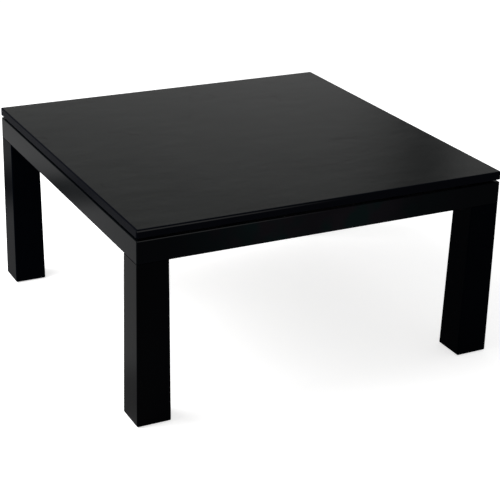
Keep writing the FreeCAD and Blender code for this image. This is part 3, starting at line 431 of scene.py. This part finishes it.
def screws_on(name, form, places, material):
    """One row of equal screws, given as a place, and the way that each head looks."""
    points = bpy.data.meshes.new(f"{name}_points")
    points.from_pydata([place for place, way in places], [], [])
    ways = points.attributes.new("way", "FLOAT_VECTOR", "POINT")
    ways.data.foreach_set("vector", [number for place, way in places for number in way])
    carrier = set_out(f"{name}_points", points)
    bpy.context.scene.collection.objects.link(form)
    pattern = Pattern(f"{name}_pattern", Places=carrier, Screw=form, Seed=7)
    spots = pattern.node("GeometryNodeObjectInfo", {}, {"Object": pattern.Places}, output="Geometry")
    head = pattern.node("GeometryNodeObjectInfo", {}, {"Object": pattern.Screw}, output="Geometry")
    way = pattern.node("GeometryNodeInputNamedAttribute", {"data_type": "FLOAT_VECTOR"}, {"Name": "way"})
    chance = pattern.node("FunctionNodeRandomValue", {"data_type": "FLOAT"}, {
        2: 0.0, 3: math.tau, "Seed": pattern.Seed}, output=1)
    faced = pattern.node("FunctionNodeAlignRotationToVector", {"axis": "Z"}, {"Vector": way})
    spun = pattern.node("FunctionNodeAxisAngleToRotation", {}, {"Axis": (0, 0, 1), "Angle": chance})
    turned = pattern.node("FunctionNodeRotateRotation", {"rotation_space": "LOCAL"}, {
        "Rotation": faced, "Rotate By": spun})
    placed = pattern.node("GeometryNodeInstanceOnPoints", {}, {
        "Points": spots, "Instance": head, "Rotation": turned})
    made = pattern.grow(name, placed, material)
    bpy.data.objects.remove(carrier)
    bpy.data.objects.remove(form)
    return made


block_screw_places = []
for side_x in (-1, 1):
    for side_y in (-1, 1):
        face = apron_outer - block_far
        middle = apron_outer - (block_near + block_far - block_cut) / 2
        for height in block_screw_heights:
            block_screw_places.append(((side_x * face, side_y * middle, height), (-side_x, 0, 0)))
            block_screw_places.append(((side_x * middle, side_y * face, height), (0, -side_y, 0)))
screws_on("corner_block_screws", block_screw, block_screw_places, block_screw_steel)


# Leg bolts, washers, inserts and dowels
# A zinc-plated M8 bolt and a square plate washer pull each leg up against its corner, into a threaded insert.
# One flat beech dowel beside it keeps the leg from turning.

bolt_steel = metal("bolt_steel", (0.60, 0.62, 0.64), (0.50, 0.53, 0.57), 0.28)
dress(bolt_steel, "leg_bolts", "leg_bolt_washers", "leg_threaded_inserts")
dress(planed_wood("dowel_beech", (0.62, 0.44, 0.28), (0.50, 0.33, 0.19), "z"), "leg_dowels")


# Foot glides
# A thin square glide of dark moulded plastic under each leg, scuffed by the floor.

def moulded(name, colour, rough, level=0.4):
    """Moulded plastic: even colour, fine mould texture, and rubbed patches that shine a little more."""
    finish = Finish(name, Specular_IOR_Level=level)
    texture = finish.noise(1800, detail=2)
    wear_and_reflection = finish.noise(70, detail=4, roughness=0.65)
    light = tuple(min(1, 1.25 * share + 0.006) for share in colour)
    return finish.feed(
        Base_Color=finish.mix(wear_and_reflection ** 2, (*colour, 1), (*light, 1)),
        Roughness=rough + 0.22 * (wear_and_reflection - 0.5),
        Normal=finish.bumped(texture, 0.00003))


dress(moulded("glide_plastic_finish", (0.018, 0.017, 0.017), 0.5), "foot_glides")


# Tabletop cushion pads
# Eight small blocks of black rubber glued along the frame's upper edge; the loose top rests on them.

pad_side = 0.014
pad_low = 0.359
pad_high = 0.364
pad_inset = 0.080
pad_line = 0.009
# Darker than real rubber and barely reflecting: painted shade, so the pads stay as dark as the shaded gap
# they sit in.
pad_rubber = Finish("pad_rubber", Specular_IOR_Level=0.01)
pad_speckle = pad_rubber.noise(2600, detail=2)
pad_rubber.feed(
    Base_Color=pad_rubber.colours(
        pad_speckle, (0.35, (0.0003, 0.0003, 0.0003)), (0.7, (0.0009, 0.0008, 0.0008))),
    Roughness=0.75 + 0.15 * pad_speckle,
    Normal=pad_rubber.bumped(pad_speckle, 0.00008))


def add_pads(work):
    for side_x in (-1, 1):
        for side_y in (-1, 1):
            for across, along in ((pad_line, pad_inset), (pad_inset, pad_line)):
                middle = Vector((side_x * (apron_outer - across), side_y * (apron_outer - along),
                                 (pad_low + pad_high) / 2))
                size = Matrix.Diagonal((pad_side, pad_side, pad_high - pad_low, 1))
                bmesh.ops.create_cube(work, size=1, matrix=Matrix.Translation(middle) @ size)


def softened(made, width, segments, angle=40):
    """Round a piece's edges and keep its flats flat."""
    bevel = made.modifiers.new("softened_edges", "BEVEL")
    bevel.width = width
    bevel.segments = segments
    bevel.angle_limit = math.radians(angle)
    bevel.harden_normals = True
    made.data.shade_smooth()
    return made


cushion_pads = softened(piece("cushion_pads", mesh_of(add_pads), "frame", pad_rubber.material), 0.0012, 3)
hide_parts("tabletop_cushion_pads")


# Tabletop
# A loose square board: a particle board core between a glossy black face sheet and a matt back sheet.
# A black edge band closes each side; its upper arris is round, and it looks like lacquer.

chipboard = Finish("chipboard")
chips = chipboard.node("ShaderNodeTexVoronoi", {"feature": "F1"}, {
    "Vector": chipboard.stretched(1, 1, 2.5), "Scale": 320.0}, output="Color")
chip_shade = chipboard.node("ShaderNodeSeparateColor", {}, {0: chips})
chipboard.feed(
    Base_Color=chipboard.colours(chip_shade, (0.0, (0.24, 0.15, 0.075)), (0.5, (0.42, 0.29, 0.16)),
                                 (1.0, (0.56, 0.42, 0.26))),
    Roughness=0.75 + 0.15 * chip_shade,
    Normal=chipboard.bumped(chip_shade, 0.0002))
dress(chipboard.material, "tabletop_core")

face_sheet = Finish("face_sheet", Specular_IOR_Level=0.0185)
sheet_rubs = face_sheet.noise(30, face_sheet.stretched(0.3, 1, 1), detail=5, roughness=0.65, distortion=0.6)
sheet_cloud = face_sheet.noise(5, detail=3)
sheet_mottle = face_sheet.noise(330, detail=3, roughness=0.7)
sheet_grain = face_sheet.noise(1400, detail=1)
sheet_waves = face_sheet.noise(26, face_sheet.stretched(0.6, 1, 1), detail=5, roughness=0.62)
mark_places = face_sheet.noise(5.3, face_sheet.stretched(0.55, 1, 1), detail=2)
wipe_marks = face_sheet.eased(abs(mark_places - 0.53), 0.006, 0.0) * (face_sheet.noise(11, detail=1) > 0.55)
sheet_depth = sheet_mottle * 0.38 + sheet_rubs * 0.42 + sheet_cloud * 0.20 - wipe_marks * 0.3
face_sheet.feed(
    Base_Color=face_sheet.colours(
        sheet_depth, (0.30, (0.0001, 0.0002, 0.0002)), (0.38, (0.0026, 0.0031, 0.0029)),
        (0.50, (0.0042, 0.0049, 0.0046)), (0.66, (0.0074, 0.0081, 0.0077))),
    Roughness=0.12 + 0.08 * sheet_cloud + 0.08 * sheet_rubs,
    Normal=face_sheet.bumped(sheet_waves, 0.0004, face_sheet.bumped(sheet_grain, 0.000006)))
dress(face_sheet.material, "tabletop_face_sheet")

back_sheet = Finish("back_sheet_finish", Specular_IOR_Level=0.25)
back_weave = back_sheet.noise(700, detail=3, roughness=0.7)
back_sheet.feed(
    Base_Color=back_sheet.colours(back_weave, (0.3, (0.016, 0.015, 0.014)), (0.7, (0.034, 0.032, 0.030))),
    Roughness=0.55 + 0.2 * back_weave,
    Normal=back_sheet.bumped(back_weave, 0.00004))
dress(back_sheet.material, "tabletop_back_sheet")

band_dark = (0.0018, 0.0022, 0.0036)
band_light = (0.0028, 0.0032, 0.0050)
band_peel = 0.000008
# Heights of the painted highlight line, just under the front band's upper arris.
band_glint_heights = (0.3758, 0.3780)
dress(lacquer("edge_band_gloss", band_dark, band_light, gloss=0.16, level=0.0017, peel=band_peel),
      "right_edge_band", "rear_edge_band", "left_edge_band")
# The front band's coat in that line is a painted highlight, fading towards the right.
dress(lacquer("front_band_gloss", band_dark, band_light, gloss=0.16, level=0.0025, peel=band_peel, shine=0.34,
              line=band_glint_heights), "front_edge_band")


# Heater case and cover
# A pressed steel pan that reaches up between the crossbars, and a deep steel ring under it, painted together.
# The paint is a dark grey heat-resistant one with a fine grain.

def painted_steel(name, colour, rough):
    finish = Finish(name, Specular_IOR_Level=0.35)
    grain = finish.noise(1300, detail=3, roughness=0.6)
    patch = finish.noise(18, detail=3)
    light = tuple(share * 1.35 for share in colour)
    return finish.feed(
        Base_Color=finish.mix(patch * 0.6 + grain * 0.4, (*colour, 1), (*light, 1)),
        Roughness=rough + 0.2 * (grain - 0.5),
        Normal=finish.bumped(grain, 0.00005))


dress(painted_steel("case_paint", (0.030, 0.028, 0.027), 0.5), "heater_case", "heater_cover")


# Heater guard
# Two layers of round steel wire, welded where they cross, each between two straight rim wires.
# Every wire lies on the cover's lip at both ends and dips in the middle, and all are black enamelled.

wire_thickness = 0.0022
wire_reach = 0.290
wire_bend = 0.260
wire_flat = 0.234
wire_dip = 0.007
wire_bend_radius = 0.004
rim_reach = 0.285
wire_level = 0.3059
guard_enamel = painted_steel("guard_enamel", (0.016, 0.015, 0.015), 0.38)


def guard_layer(name, count, level, along_x):
    pattern = Pattern(f"{name}_pattern", Count=count, Thickness=wire_thickness, Reach=wire_reach,
                      Bend=wire_bend, Flat=wire_flat, Dip=wire_dip, Level=level, Rim=rim_reach)
    low = pattern.Level - pattern.Dip
    path_points = [pattern.point(side * width / 2, 0.0, height) for side, width, height in (
        (-1, pattern.Reach, pattern.Level), (-1, pattern.Bend, pattern.Level), (-1, pattern.Flat, low),
        (1, pattern.Flat, low), (1, pattern.Bend, pattern.Level), (1, pattern.Reach, pattern.Level))]
    switch = pattern.tree.nodes.new("GeometryNodeIndexSwitch")
    switch.data_type = "VECTOR"
    while len(switch.index_switch_items) < len(path_points):
        switch.index_switch_items.new()
    index = pattern.node("GeometryNodeInputIndex")
    pattern.connect(switch.inputs["Index"], index)
    for number, spot in enumerate(path_points):
        pattern.connect(switch.inputs[str(number)], spot)
    line = pattern.node("GeometryNodeMeshLine", {"mode": "OFFSET"}, {"Count": len(path_points)})
    bent = pattern.node("GeometryNodeSetPosition", {}, {
        "Geometry": line, "Position": Amount(pattern, switch.outputs[0])})
    curve = pattern.node("GeometryNodeMeshToCurve", {}, {"Mesh": bent})
    rounded = pattern.node("GeometryNodeFilletCurve", {"mode": "POLY"}, {
        "Curve": curve, "Count": 4, "Radius": wire_bend_radius, "Limit Radius": True})
    wire = pattern.wire(rounded, pattern.Thickness, 12)
    span = pattern.Flat - 2 * pattern.Thickness
    step = span / (pattern.Count - 1)
    row = pattern.node("GeometryNodeMeshLine", {"mode": "OFFSET"}, {
        "Count": pattern.Count, "Start Location": pattern.point(0.0, span * -0.5, 0.0),
        "Offset": pattern.point(0.0, step, 0.0)})
    wires = pattern.node("GeometryNodeInstanceOnPoints", {}, {"Points": row, "Instance": wire})
    straight = pattern.node("GeometryNodeCurvePrimitiveLine", {"mode": "POINTS"}, {
        "Start": pattern.point(pattern.Rim * 0.5, pattern.Reach * -0.5, pattern.Level),
        "End": pattern.point(pattern.Rim * 0.5, pattern.Reach * 0.5, pattern.Level)})
    rim = pattern.wire(straight, pattern.Thickness, 12)
    ends = pattern.node("GeometryNodeMeshLine", {"mode": "OFFSET"}, {
        "Count": 2, "Offset": pattern.point(pattern.Rim * -1.0, 0.0, 0.0)})
    rims = pattern.node("GeometryNodeInstanceOnPoints", {}, {"Points": ends, "Instance": rim})
    join = pattern.tree.nodes.new("GeometryNodeJoinGeometry")
    for part in (wires, rims):
        pattern.tree.links.new(part.socket, join.inputs[0])
    turned = pattern.node("GeometryNodeTransform", {}, {
        "Geometry": Amount(pattern, join.outputs[0]), "Rotation": (0, 0, 0 if along_x else math.pi / 2)})
    return pattern.grow(name, turned, guard_enamel)


long_wires = guard_layer("guard_long_wires", 15, wire_level, True)
cross_wires = guard_layer("guard_cross_wires", 5, wire_level + wire_thickness, False)
for layer in (long_wires, cross_wires):
    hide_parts("heater_guard")


# Heater mounting screws
# Four washer-head cross screws up through the flange of the cover and the case into the crossbars.

heater_screw = screw_head("heater_screw", [
    (0.0020, 0.0), (0.0040, 0.0), (0.0040, 0.0005), (0.0034, 0.0008), (0.0033, 0.0017), (0.0028, 0.0022),
    (0.0012, 0.0024)], recess_width=0.0011, recess_reach=0.0044, recess_depth=0.0016)
heater_screw_x = 0.158
heater_screw_y = 0.110
flange_level = 0.3244
heater_screw_places = [((side_x * heater_screw_x, side_y * heater_screw_y, flange_level), (0, 0, -1))
                       for side_x in (-1, 1) for side_y in (-1, 1)]
mounting_screws = screws_on("mounting_screws", heater_screw, heater_screw_places, bolt_steel)
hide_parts("heater_mounting_screws")


# Reflector
# A bright rolled aluminium plate with a trough over each tube and a collared hole for the fan.

dress(metal("reflector_aluminium", (0.86, 0.86, 0.85), (0.80, 0.80, 0.80), 0.2,
            streak=(0.03, 1, 1), scale=900, depth=0.000008), "reflector")


# Tube brackets
# Two angle brackets of aluminised steel, spot-welded under the reflector at its ends.

dress(metal("bracket_metal", (0.55, 0.55, 0.54), (0.44, 0.44, 0.44), 0.36,
            streak=(1, 1, 0.2), scale=500, depth=0.00002), "left_tube_bracket", "right_tube_bracket")


# Quartz tubes and heating coils
# Two tubes of satin quartz with a coil of resistance wire in each, held at both ends in ceramic caps.

tube_row = 0.064
tube_level = 0.317
coil_wire = 0.0008
quartz = Finish("quartz_finish", Transmission_Weight=0.8, IOR=1.46, Specular_IOR_Level=0.5)
quartz_haze = quartz.noise(160, detail=3)
quartz.feed(
    Base_Color=quartz.mix(quartz_haze, (0.93, 0.92, 0.89, 1), (0.86, 0.85, 0.82, 1)),
    Roughness=0.16 + 0.14 * quartz_haze,
    Normal=quartz.bumped(quartz_haze, 0.00004))
dress(quartz.material, "front_quartz_tube", "rear_quartz_tube")

coil_alloy = metal("coil_alloy", (0.20, 0.16, 0.13), (0.13, 0.11, 0.10), 0.5)
coil = Pattern("coil_pattern", Length=0.2300, Radius=0.0027, Turns=120.0, Thickness=coil_wire, Row=tube_row,
               Level=tube_level)
spiral = coil.node("GeometryNodeCurveSpiral", {}, {
    "Resolution": 12, "Rotations": coil.Turns, "Start Radius": coil.Radius, "End Radius": coil.Radius,
    "Height": coil.Length})
laid = coil.node("GeometryNodeTransform", {}, {"Geometry": coil.wire(spiral, coil.Thickness, 5),
                                               "Rotation": (0, math.pi / 2, 0)})
spots = coil.node("GeometryNodeMeshLine", {"mode": "OFFSET"}, {
    "Count": 2, "Start Location": coil.point(coil.Length * -0.5, coil.Row * -1.0, coil.Level),
    "Offset": coil.point(0.0, coil.Row * 2.0, 0.0)})
coils = coil.grow("coils", coil.node("GeometryNodeInstanceOnPoints", {}, {"Points": spots, "Instance": laid}),
                  coil_alloy)
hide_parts("heating_coils")


# Tube caps and tabs
# Square caps of unglazed ceramic in the brackets' holes, each with a flat brass tab for its lead.

def ceramic(name, colour, speck):
    finish = Finish(name, Specular_IOR_Level=0.3)
    body_tone = finish.noise(60, detail=3)
    specks = finish.noise(1600, detail=2) ** 6
    return finish.feed(
        Base_Color=finish.mix(body_tone * 0.6 + specks, (*colour, 1), (*speck, 1)),
        Roughness=0.62 + 0.2 * body_tone,
        Normal=finish.bumped(specks + 0.3 * body_tone, 0.00006))


cap_ceramic = ceramic("cap_ceramic", (0.78, 0.75, 0.68), (0.62, 0.57, 0.48))
dress(cap_ceramic, "tube_end_caps")
tab_brass = metal("tab_brass", (0.72, 0.50, 0.21), (0.60, 0.40, 0.17), 0.3)
dress(tab_brass, "tube_terminal_tabs", "inlet_pins")


# Fan motor
# A flat shaded-pole motor screwed up to the case ceiling on two spacers: a stack of steel sheets with the
# rotor in its bore, a coil of enamelled wire on one limb, and a steel bridge with a bronze bush each side.

stack_steel = Finish("stack_steel", Metallic=1.0)
sheets_per_metre = 2000
stack_lines = stack_steel.node("ShaderNodeMath", {"operation": "PINGPONG"}, {
    0: stack_steel.axis("Z") * sheets_per_metre, 1: 0.5}) * 2
stack_rust = stack_steel.noise(220, detail=4, roughness=0.7)
stack_steel.feed(
    Base_Color=stack_steel.mix(
        stack_lines * 0.5 + stack_rust * 0.5, (0.26, 0.26, 0.28, 1), (0.40, 0.39, 0.38, 1)),
    Roughness=0.42 + 0.2 * stack_rust,
    Normal=stack_steel.bumped(stack_lines, 0.00008))
dress(stack_steel.material, "motor_stack", "motor_rotor")

winding_turns = 27
winding_wire = 0.00085
winding_corner = 0.003
bobbin_flange = 0.001
bobbin_depth = 0.0008
winding_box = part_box("motor_winding")
winding_size = winding_box[1] - winding_box[0]
winding_middle = (winding_box[0] + winding_box[1]) / 2
winding_copper = metal("winding_copper", (0.52, 0.19, 0.07), (0.42, 0.14, 0.05), 0.24, scale=1400)
winding_form = Pattern("winding_pattern", Turns=winding_turns, Thickness=winding_wire, Width=winding_size.x,
                       Height=winding_size.z, Length=winding_size.y - 2 * bobbin_flange)
loop = winding_form.node("GeometryNodeCurvePrimitiveQuadrilateral", {"mode": "RECTANGLE"}, {
    "Width": winding_form.Width - winding_form.Thickness,
    "Height": winding_form.Height - winding_form.Thickness})
rounded_loop = winding_form.node("GeometryNodeFilletCurve", {"mode": "POLY"}, {
    "Curve": loop, "Count": 5, "Radius": winding_corner, "Limit Radius": True})
turn_of_wire = winding_form.wire(rounded_loop, winding_form.Thickness, 8)
upright = winding_form.node("GeometryNodeTransform", {}, {
    "Geometry": turn_of_wire, "Rotation": (math.pi / 2, 0, 0)})
pitch = (winding_form.Length - winding_form.Thickness) / (winding_form.Turns - 1)
turns = winding_form.node("GeometryNodeMeshLine", {"mode": "OFFSET"}, {
    "Count": winding_form.Turns, "Start Location": winding_form.point(
        winding_middle.x, (winding_form.Length - winding_form.Thickness) * -0.5, winding_middle.z),
    "Offset": winding_form.point(0.0, pitch, 0.0)})
winding = winding_form.grow("winding_turns", winding_form.node(
    "GeometryNodeInstanceOnPoints", {}, {"Points": turns, "Instance": upright}), winding_copper)


def add_bobbin(work):
    """Former under the turns: a thick sleeve round the limb, and a flange at each end."""
    low, high = winding_box
    inner = Vector((0.0124, 0, 0.0084))
    sleeve = Vector((winding_size.x - 2 * bobbin_depth, winding_size.y - 2 * bobbin_flange,
                     winding_size.z - 2 * bobbin_depth))
    for middle_y, length, size in ((0, sleeve.y, sleeve),
                                   (low.y + bobbin_flange / 2, bobbin_flange, winding_size),
                                   (high.y - bobbin_flange / 2, bobbin_flange, winding_size)):
        rings = []
        for y in (middle_y - length / 2, middle_y + length / 2):
            for half_x, half_z in ((size.x / 2, size.z / 2), (inner.x / 2, inner.z / 2)):
                rings.append([work.verts.new((winding_middle.x + side_x * half_x, y,
                                              winding_middle.z + side_z * half_z))
                              for side_x, side_z in ((-1, -1), (1, -1), (1, 1), (-1, 1))])
        outer_a, inner_a, outer_b, inner_b = rings
        for step in range(4):
            following = (step + 1) % 4
            work.faces.new((outer_a[step], outer_a[following], outer_b[following], outer_b[step]))
            work.faces.new((inner_a[following], inner_a[step], inner_b[step], inner_b[following]))
            work.faces.new((outer_a[following], outer_a[step], inner_a[step], inner_a[following]))
            work.faces.new((outer_b[step], outer_b[following], inner_b[following], inner_b[step]))


bobbin_nylon = moulded("bobbin_nylon", (0.62, 0.60, 0.52), 0.45)
bobbin = piece("winding_bobbin", mesh_of(add_bobbin), "frame", bobbin_nylon)
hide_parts("motor_winding")

dress(metal("bridge_steel", (0.56, 0.56, 0.57), (0.46, 0.47, 0.48), 0.34,
            streak=(0.2, 1, 1), scale=600, depth=0.00002), "motor_bearing_bridges")
dress(metal("bush_bronze", (0.44, 0.28, 0.13), (0.33, 0.21, 0.10), 0.45, scale=2500, depth=0.00004),
      "motor_bushes")
dress(bolt_steel, "motor_spacers", "motor_screws", "fan_shaft")


# Fan
# A pressed aluminium propeller of six cambered blades riveted to a turned hub, on the motor's steel shaft.

blade_count = 6
blade_pitch = math.radians(26)
blade_root = 0.0049
blade_tip = 0.034
blade_sheet = 0.0009
blade_camber = 0.0010
blade_root_half = 0.0045
blade_tip_half = 0.011
hub_radius = 0.007
hub_low = 0.3315
hub_high = 0.3395
hub_arris = 0.001
shaft_radius = 0.00155
fan_metal = metal("fan_metal", (0.70, 0.70, 0.71), (0.60, 0.61, 0.62), 0.3, scale=700)


def add_blades(work):
    steps_out, steps_across = 10, 8
    for number in range(blade_count):
        spin = Matrix.Rotation(math.tau * number / blade_count, 4, "Z")
        tilt = Matrix.Rotation(blade_pitch, 4, "X")
        lift = Matrix.Translation((0, 0, (hub_low + hub_high) / 2))
        skins = []
        for side in (-0.5, 0.5):
            skin = []
            for out in range(steps_out + 1):
                share = out / steps_out
                half_width = blade_root_half + (blade_tip_half - blade_root_half) * share ** 0.8
                row = []
                for across in range(steps_across + 1):
                    y = half_width * (2 * across / steps_across - 1)
                    reach = math.sqrt(blade_tip ** 2 - y ** 2)
                    x = blade_root + (reach - blade_root) * share
                    z = (blade_camber * share * (1 - (y / half_width) ** 2) * 2 + side * blade_sheet
                         - blade_camber)
                    row.append(work.verts.new(lift @ spin @ tilt @ Vector((x, y, z))))
                skin.append(row)
            skins.append(skin)
        lower, upper = skins
        for out in range(steps_out):
            for across in range(steps_across):
                for skin, order in ((upper, 1), (lower, -1)):
                    quad = (skin[out][across], skin[out + 1][across], skin[out + 1][across + 1],
                            skin[out][across + 1])
                    work.faces.new(quad[::order])
        for out in range(steps_out):
            for across in (0, steps_across):
                work.faces.new((lower[out][across], lower[out + 1][across], upper[out + 1][across],
                                upper[out][across]))
        for across in range(steps_across):
            for out in (0, steps_out):
                work.faces.new((lower[out][across], lower[out][across + 1], upper[out][across + 1],
                                upper[out][across]))


def add_fan(work):
    add_blades(work)
    turn_profile(work, [
        (shaft_radius, hub_low), (hub_radius - hub_arris, hub_low), (hub_radius, hub_low + hub_arris),
        (hub_radius, hub_high - hub_arris), (hub_radius - hub_arris, hub_high), (shaft_radius, hub_high)],
        sides=40, bored=True)


impeller = piece("impeller", smooth_shaded(mesh_of(add_fan), 35), "fan", fan_metal)
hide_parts("fan_impeller")


# Thermostat and thermal fuse
# A disc thermostat in black phenolic on the reflector, and a fuse in a ceramic sleeve beside it.

dress(moulded("phenolic", (0.022, 0.020, 0.020), 0.35), "thermostat", "inlet_socket")
dress(ceramic("fuse_ceramic", (0.80, 0.78, 0.73), (0.70, 0.66, 0.60)), "thermal_fuse")


# Terminal block
# A three-way block of glazed ceramic on the reflector, with a well for each terminal.

dress(ceramic("block_ceramic", (0.82, 0.80, 0.76), (0.72, 0.69, 0.63)), "terminal_block")


# Studio
# A plain pale floor, one large soft lamp high on the left, even light all round and a pale backdrop behind.
# The backdrop, with a dark gap in it, shows in the table's gloss alone, and so does painted shade on the
# floor: three dark round patches where the table mirrors the floor.

floor_white = Finish("floor_white", Roughness=0.9, Specular_IOR_Level=0.0, Emission_Strength=1.0)
floor_pale = (0.80, 0.80, 0.80, 1)
floor_glow = 0.69
floor_reach = 20
floor_level = -0.0002
# Colour and core of the painted shade patches on the floor.
gloss_shade_black = (0.02, 0.02, 0.02, 1)
gloss_shade_core = 0.03


def seen_directly(tree):
    """One where the thing is seen, mirrored or seen through glass, and nothing where it only gives light."""
    seen = tree.node("ShaderNodeLightPath", output="Is Camera Ray")
    for kind in ("Is Glossy Ray", "Is Transmission Ray"):
        seen = tree.node("ShaderNodeMath", {"operation": "MAXIMUM"}, {
            0: seen, 1: tree.node("ShaderNodeLightPath", output=kind)})
    return seen


# A round patch of painted shade, full within its core and gone past its radius.
def dark_mat(place, radius, depth):
    distance = floor_white.node("ShaderNodeVectorMath", {"operation": "DISTANCE"}, {
        0: floor_white.place, 1: place}, output=1)
    return floor_white.eased(distance, radius, gloss_shade_core, high=depth)


# Painted shade that only glossy rays see: one patch by the front left leg's foot stands for its contact
# shadow, and two behind the rear left leg darken the floor that its left face mirrors.
gloss_shade = floor_white.node("ShaderNodeLightPath", output="Is Glossy Ray") * (
    dark_mat((-0.69, 0.80, 0), 0.19, 0.74) + dark_mat((-0.41, -0.25, 0), 0.17, 0.42)
    + dark_mat((-0.46, 0.94, 0), 0.28, 0.90))
floor_white.feed(
    Base_Color=floor_white.mix(gloss_shade, floor_pale, gloss_shade_black),
    Emission_Color=seen_directly(floor_white) * floor_glow * (1 - gloss_shade))
floor_mesh = mesh_of(lambda work: bmesh.ops.create_grid(work, x_segments=1, y_segments=1, size=floor_reach))
floor_mesh.transform(Matrix.Translation((0, 0, floor_level)))
floor_mesh.materials.append(floor_white.material)
set_out("floor", floor_mesh)

backdrop_turn = math.radians(34.5)
backdrop_across = Vector((math.cos(backdrop_turn), -math.sin(backdrop_turn), 0))
backdrop_middle = Vector((2.069, 2.361, 0))
backdrop_left = -3.3
backdrop_right = 0.6
backdrop_height = 3.2
backdrop_gap = (0.24, 0.24, 0.25)
backdrop_grey = Finish("backdrop_grey", Base_Color=(0, 0, 0, 1), Roughness=1.0, Specular_IOR_Level=0.0,
                       Emission_Strength=1.0)
backdrop_offset = backdrop_grey.node("ShaderNodeVectorMath", {"operation": "DOT_PRODUCT"}, {
    0: backdrop_grey.place, 1: backdrop_across}, output=1) - backdrop_across.dot(backdrop_middle)
backdrop_row = backdrop_grey.colours(
    (backdrop_offset - backdrop_left) / (backdrop_right - backdrop_left),
    (0.005, (1, 1, 1)), (0.35, (0.80, 0.80, 0.80)), (0.52, (0.90, 0.90, 0.90)), (0.66, (1, 1, 1)),
    (0.76, (0.95, 0.95, 0.95)), (0.81, (0.70, 0.70, 0.70)), (0.845, backdrop_gap), (0.87, backdrop_gap),
    (0.892, (1, 1, 1)), (0.96, (1, 1, 1)))
backdrop_fall = backdrop_grey.eased(backdrop_grey.axis("Z"), 1.0, 2.0, low=1.06, high=0.82)
backdrop_grey.feed(Emission_Color=backdrop_grey.node("ShaderNodeVectorMath", {"operation": "SCALE"}, {
    0: backdrop_row, "Scale": backdrop_fall}))
backdrop_mesh = bpy.data.meshes.new("backdrop")
backdrop_corners = ((backdrop_left, 0), (backdrop_right, 0), (backdrop_right, backdrop_height),
                    (backdrop_left, backdrop_height))
backdrop_mesh.from_pydata([backdrop_middle + backdrop_across * side + Vector((0, 0, height))
                           for side, height in backdrop_corners], [], [(0, 1, 2, 3)])
backdrop_mesh.materials.append(backdrop_grey.material)
backdrop = set_out("backdrop", backdrop_mesh)
for kind in ("camera", "diffuse", "transmission", "shadow"):
    setattr(backdrop, "visible_" + kind, False)

world = bpy.data.worlds.new("studio_light")
world.use_nodes = True
bpy.context.scene.world = world
air = NodeTree(world.node_tree)
air_given = (0.40, 0.40, 0.40, 1)
air_seen = (1, 1, 1, 1)
air_light = air.node("ShaderNodeMix", {"data_type": "RGBA"}, {
    0: seen_directly(air), 6: air_given, 7: air_seen}, output=2)
air.connect(world.node_tree.nodes["Background"].inputs["Color"], air_light)

lamp_place = Vector((-1.2, 0.4, 1.6))
lamp_aim = Vector((0, 0, 0.2))
lamp_light = bpy.data.lights.new("left_lamp", "AREA")
lamp_light.shape = "RECTANGLE"
lamp_light.size = 1.6
lamp_light.size_y = 1.6
lamp_light.energy = 50
left_lamp = set_out("left_lamp", lamp_light)
left_lamp.location = lamp_place
left_lamp.rotation_euler = (lamp_aim - lamp_place).to_track_quat("-Z", "Y").to_euler()

camera_azimuth = math.radians(27.2678)
camera_elevation = math.radians(20.5106)
camera_roll = math.radians(1.4902)
back = Vector((-math.sin(camera_azimuth) * math.cos(camera_elevation),
               -math.cos(camera_azimuth) * math.cos(camera_elevation), math.sin(camera_elevation)))
level_right = (-back).cross(Vector((0, 0, 1))).normalized()
level_up = level_right.cross(-back)
right = math.cos(camera_roll) * level_right + math.sin(camera_roll) * level_up
up = math.cos(camera_roll) * level_up - math.sin(camera_roll) * level_right
camera_aim = Vector((0, 0, 0.180))
camera_aside = 0.029396
camera_above = 0.082402
camera_distance = 2.921178
camera_place = camera_aim + right * camera_aside + up * camera_above + back * camera_distance
photo_side = 500
photo_focal = 1417.6762
sensor_width = 36
camera_data = bpy.data.cameras.new("camera")
camera_data.sensor_width = sensor_width
camera_data.lens = photo_focal / photo_side * sensor_width
camera_data.shift_y = -0.12
camera = set_out("camera", camera_data)
camera_turn = Matrix((right, up, back)).transposed().to_4x4()
camera.matrix_world = Matrix.Translation(camera_place) @ camera_turn
bpy.context.scene.camera = camera
bpy.context.scene.view_settings.view_transform = "Standard"
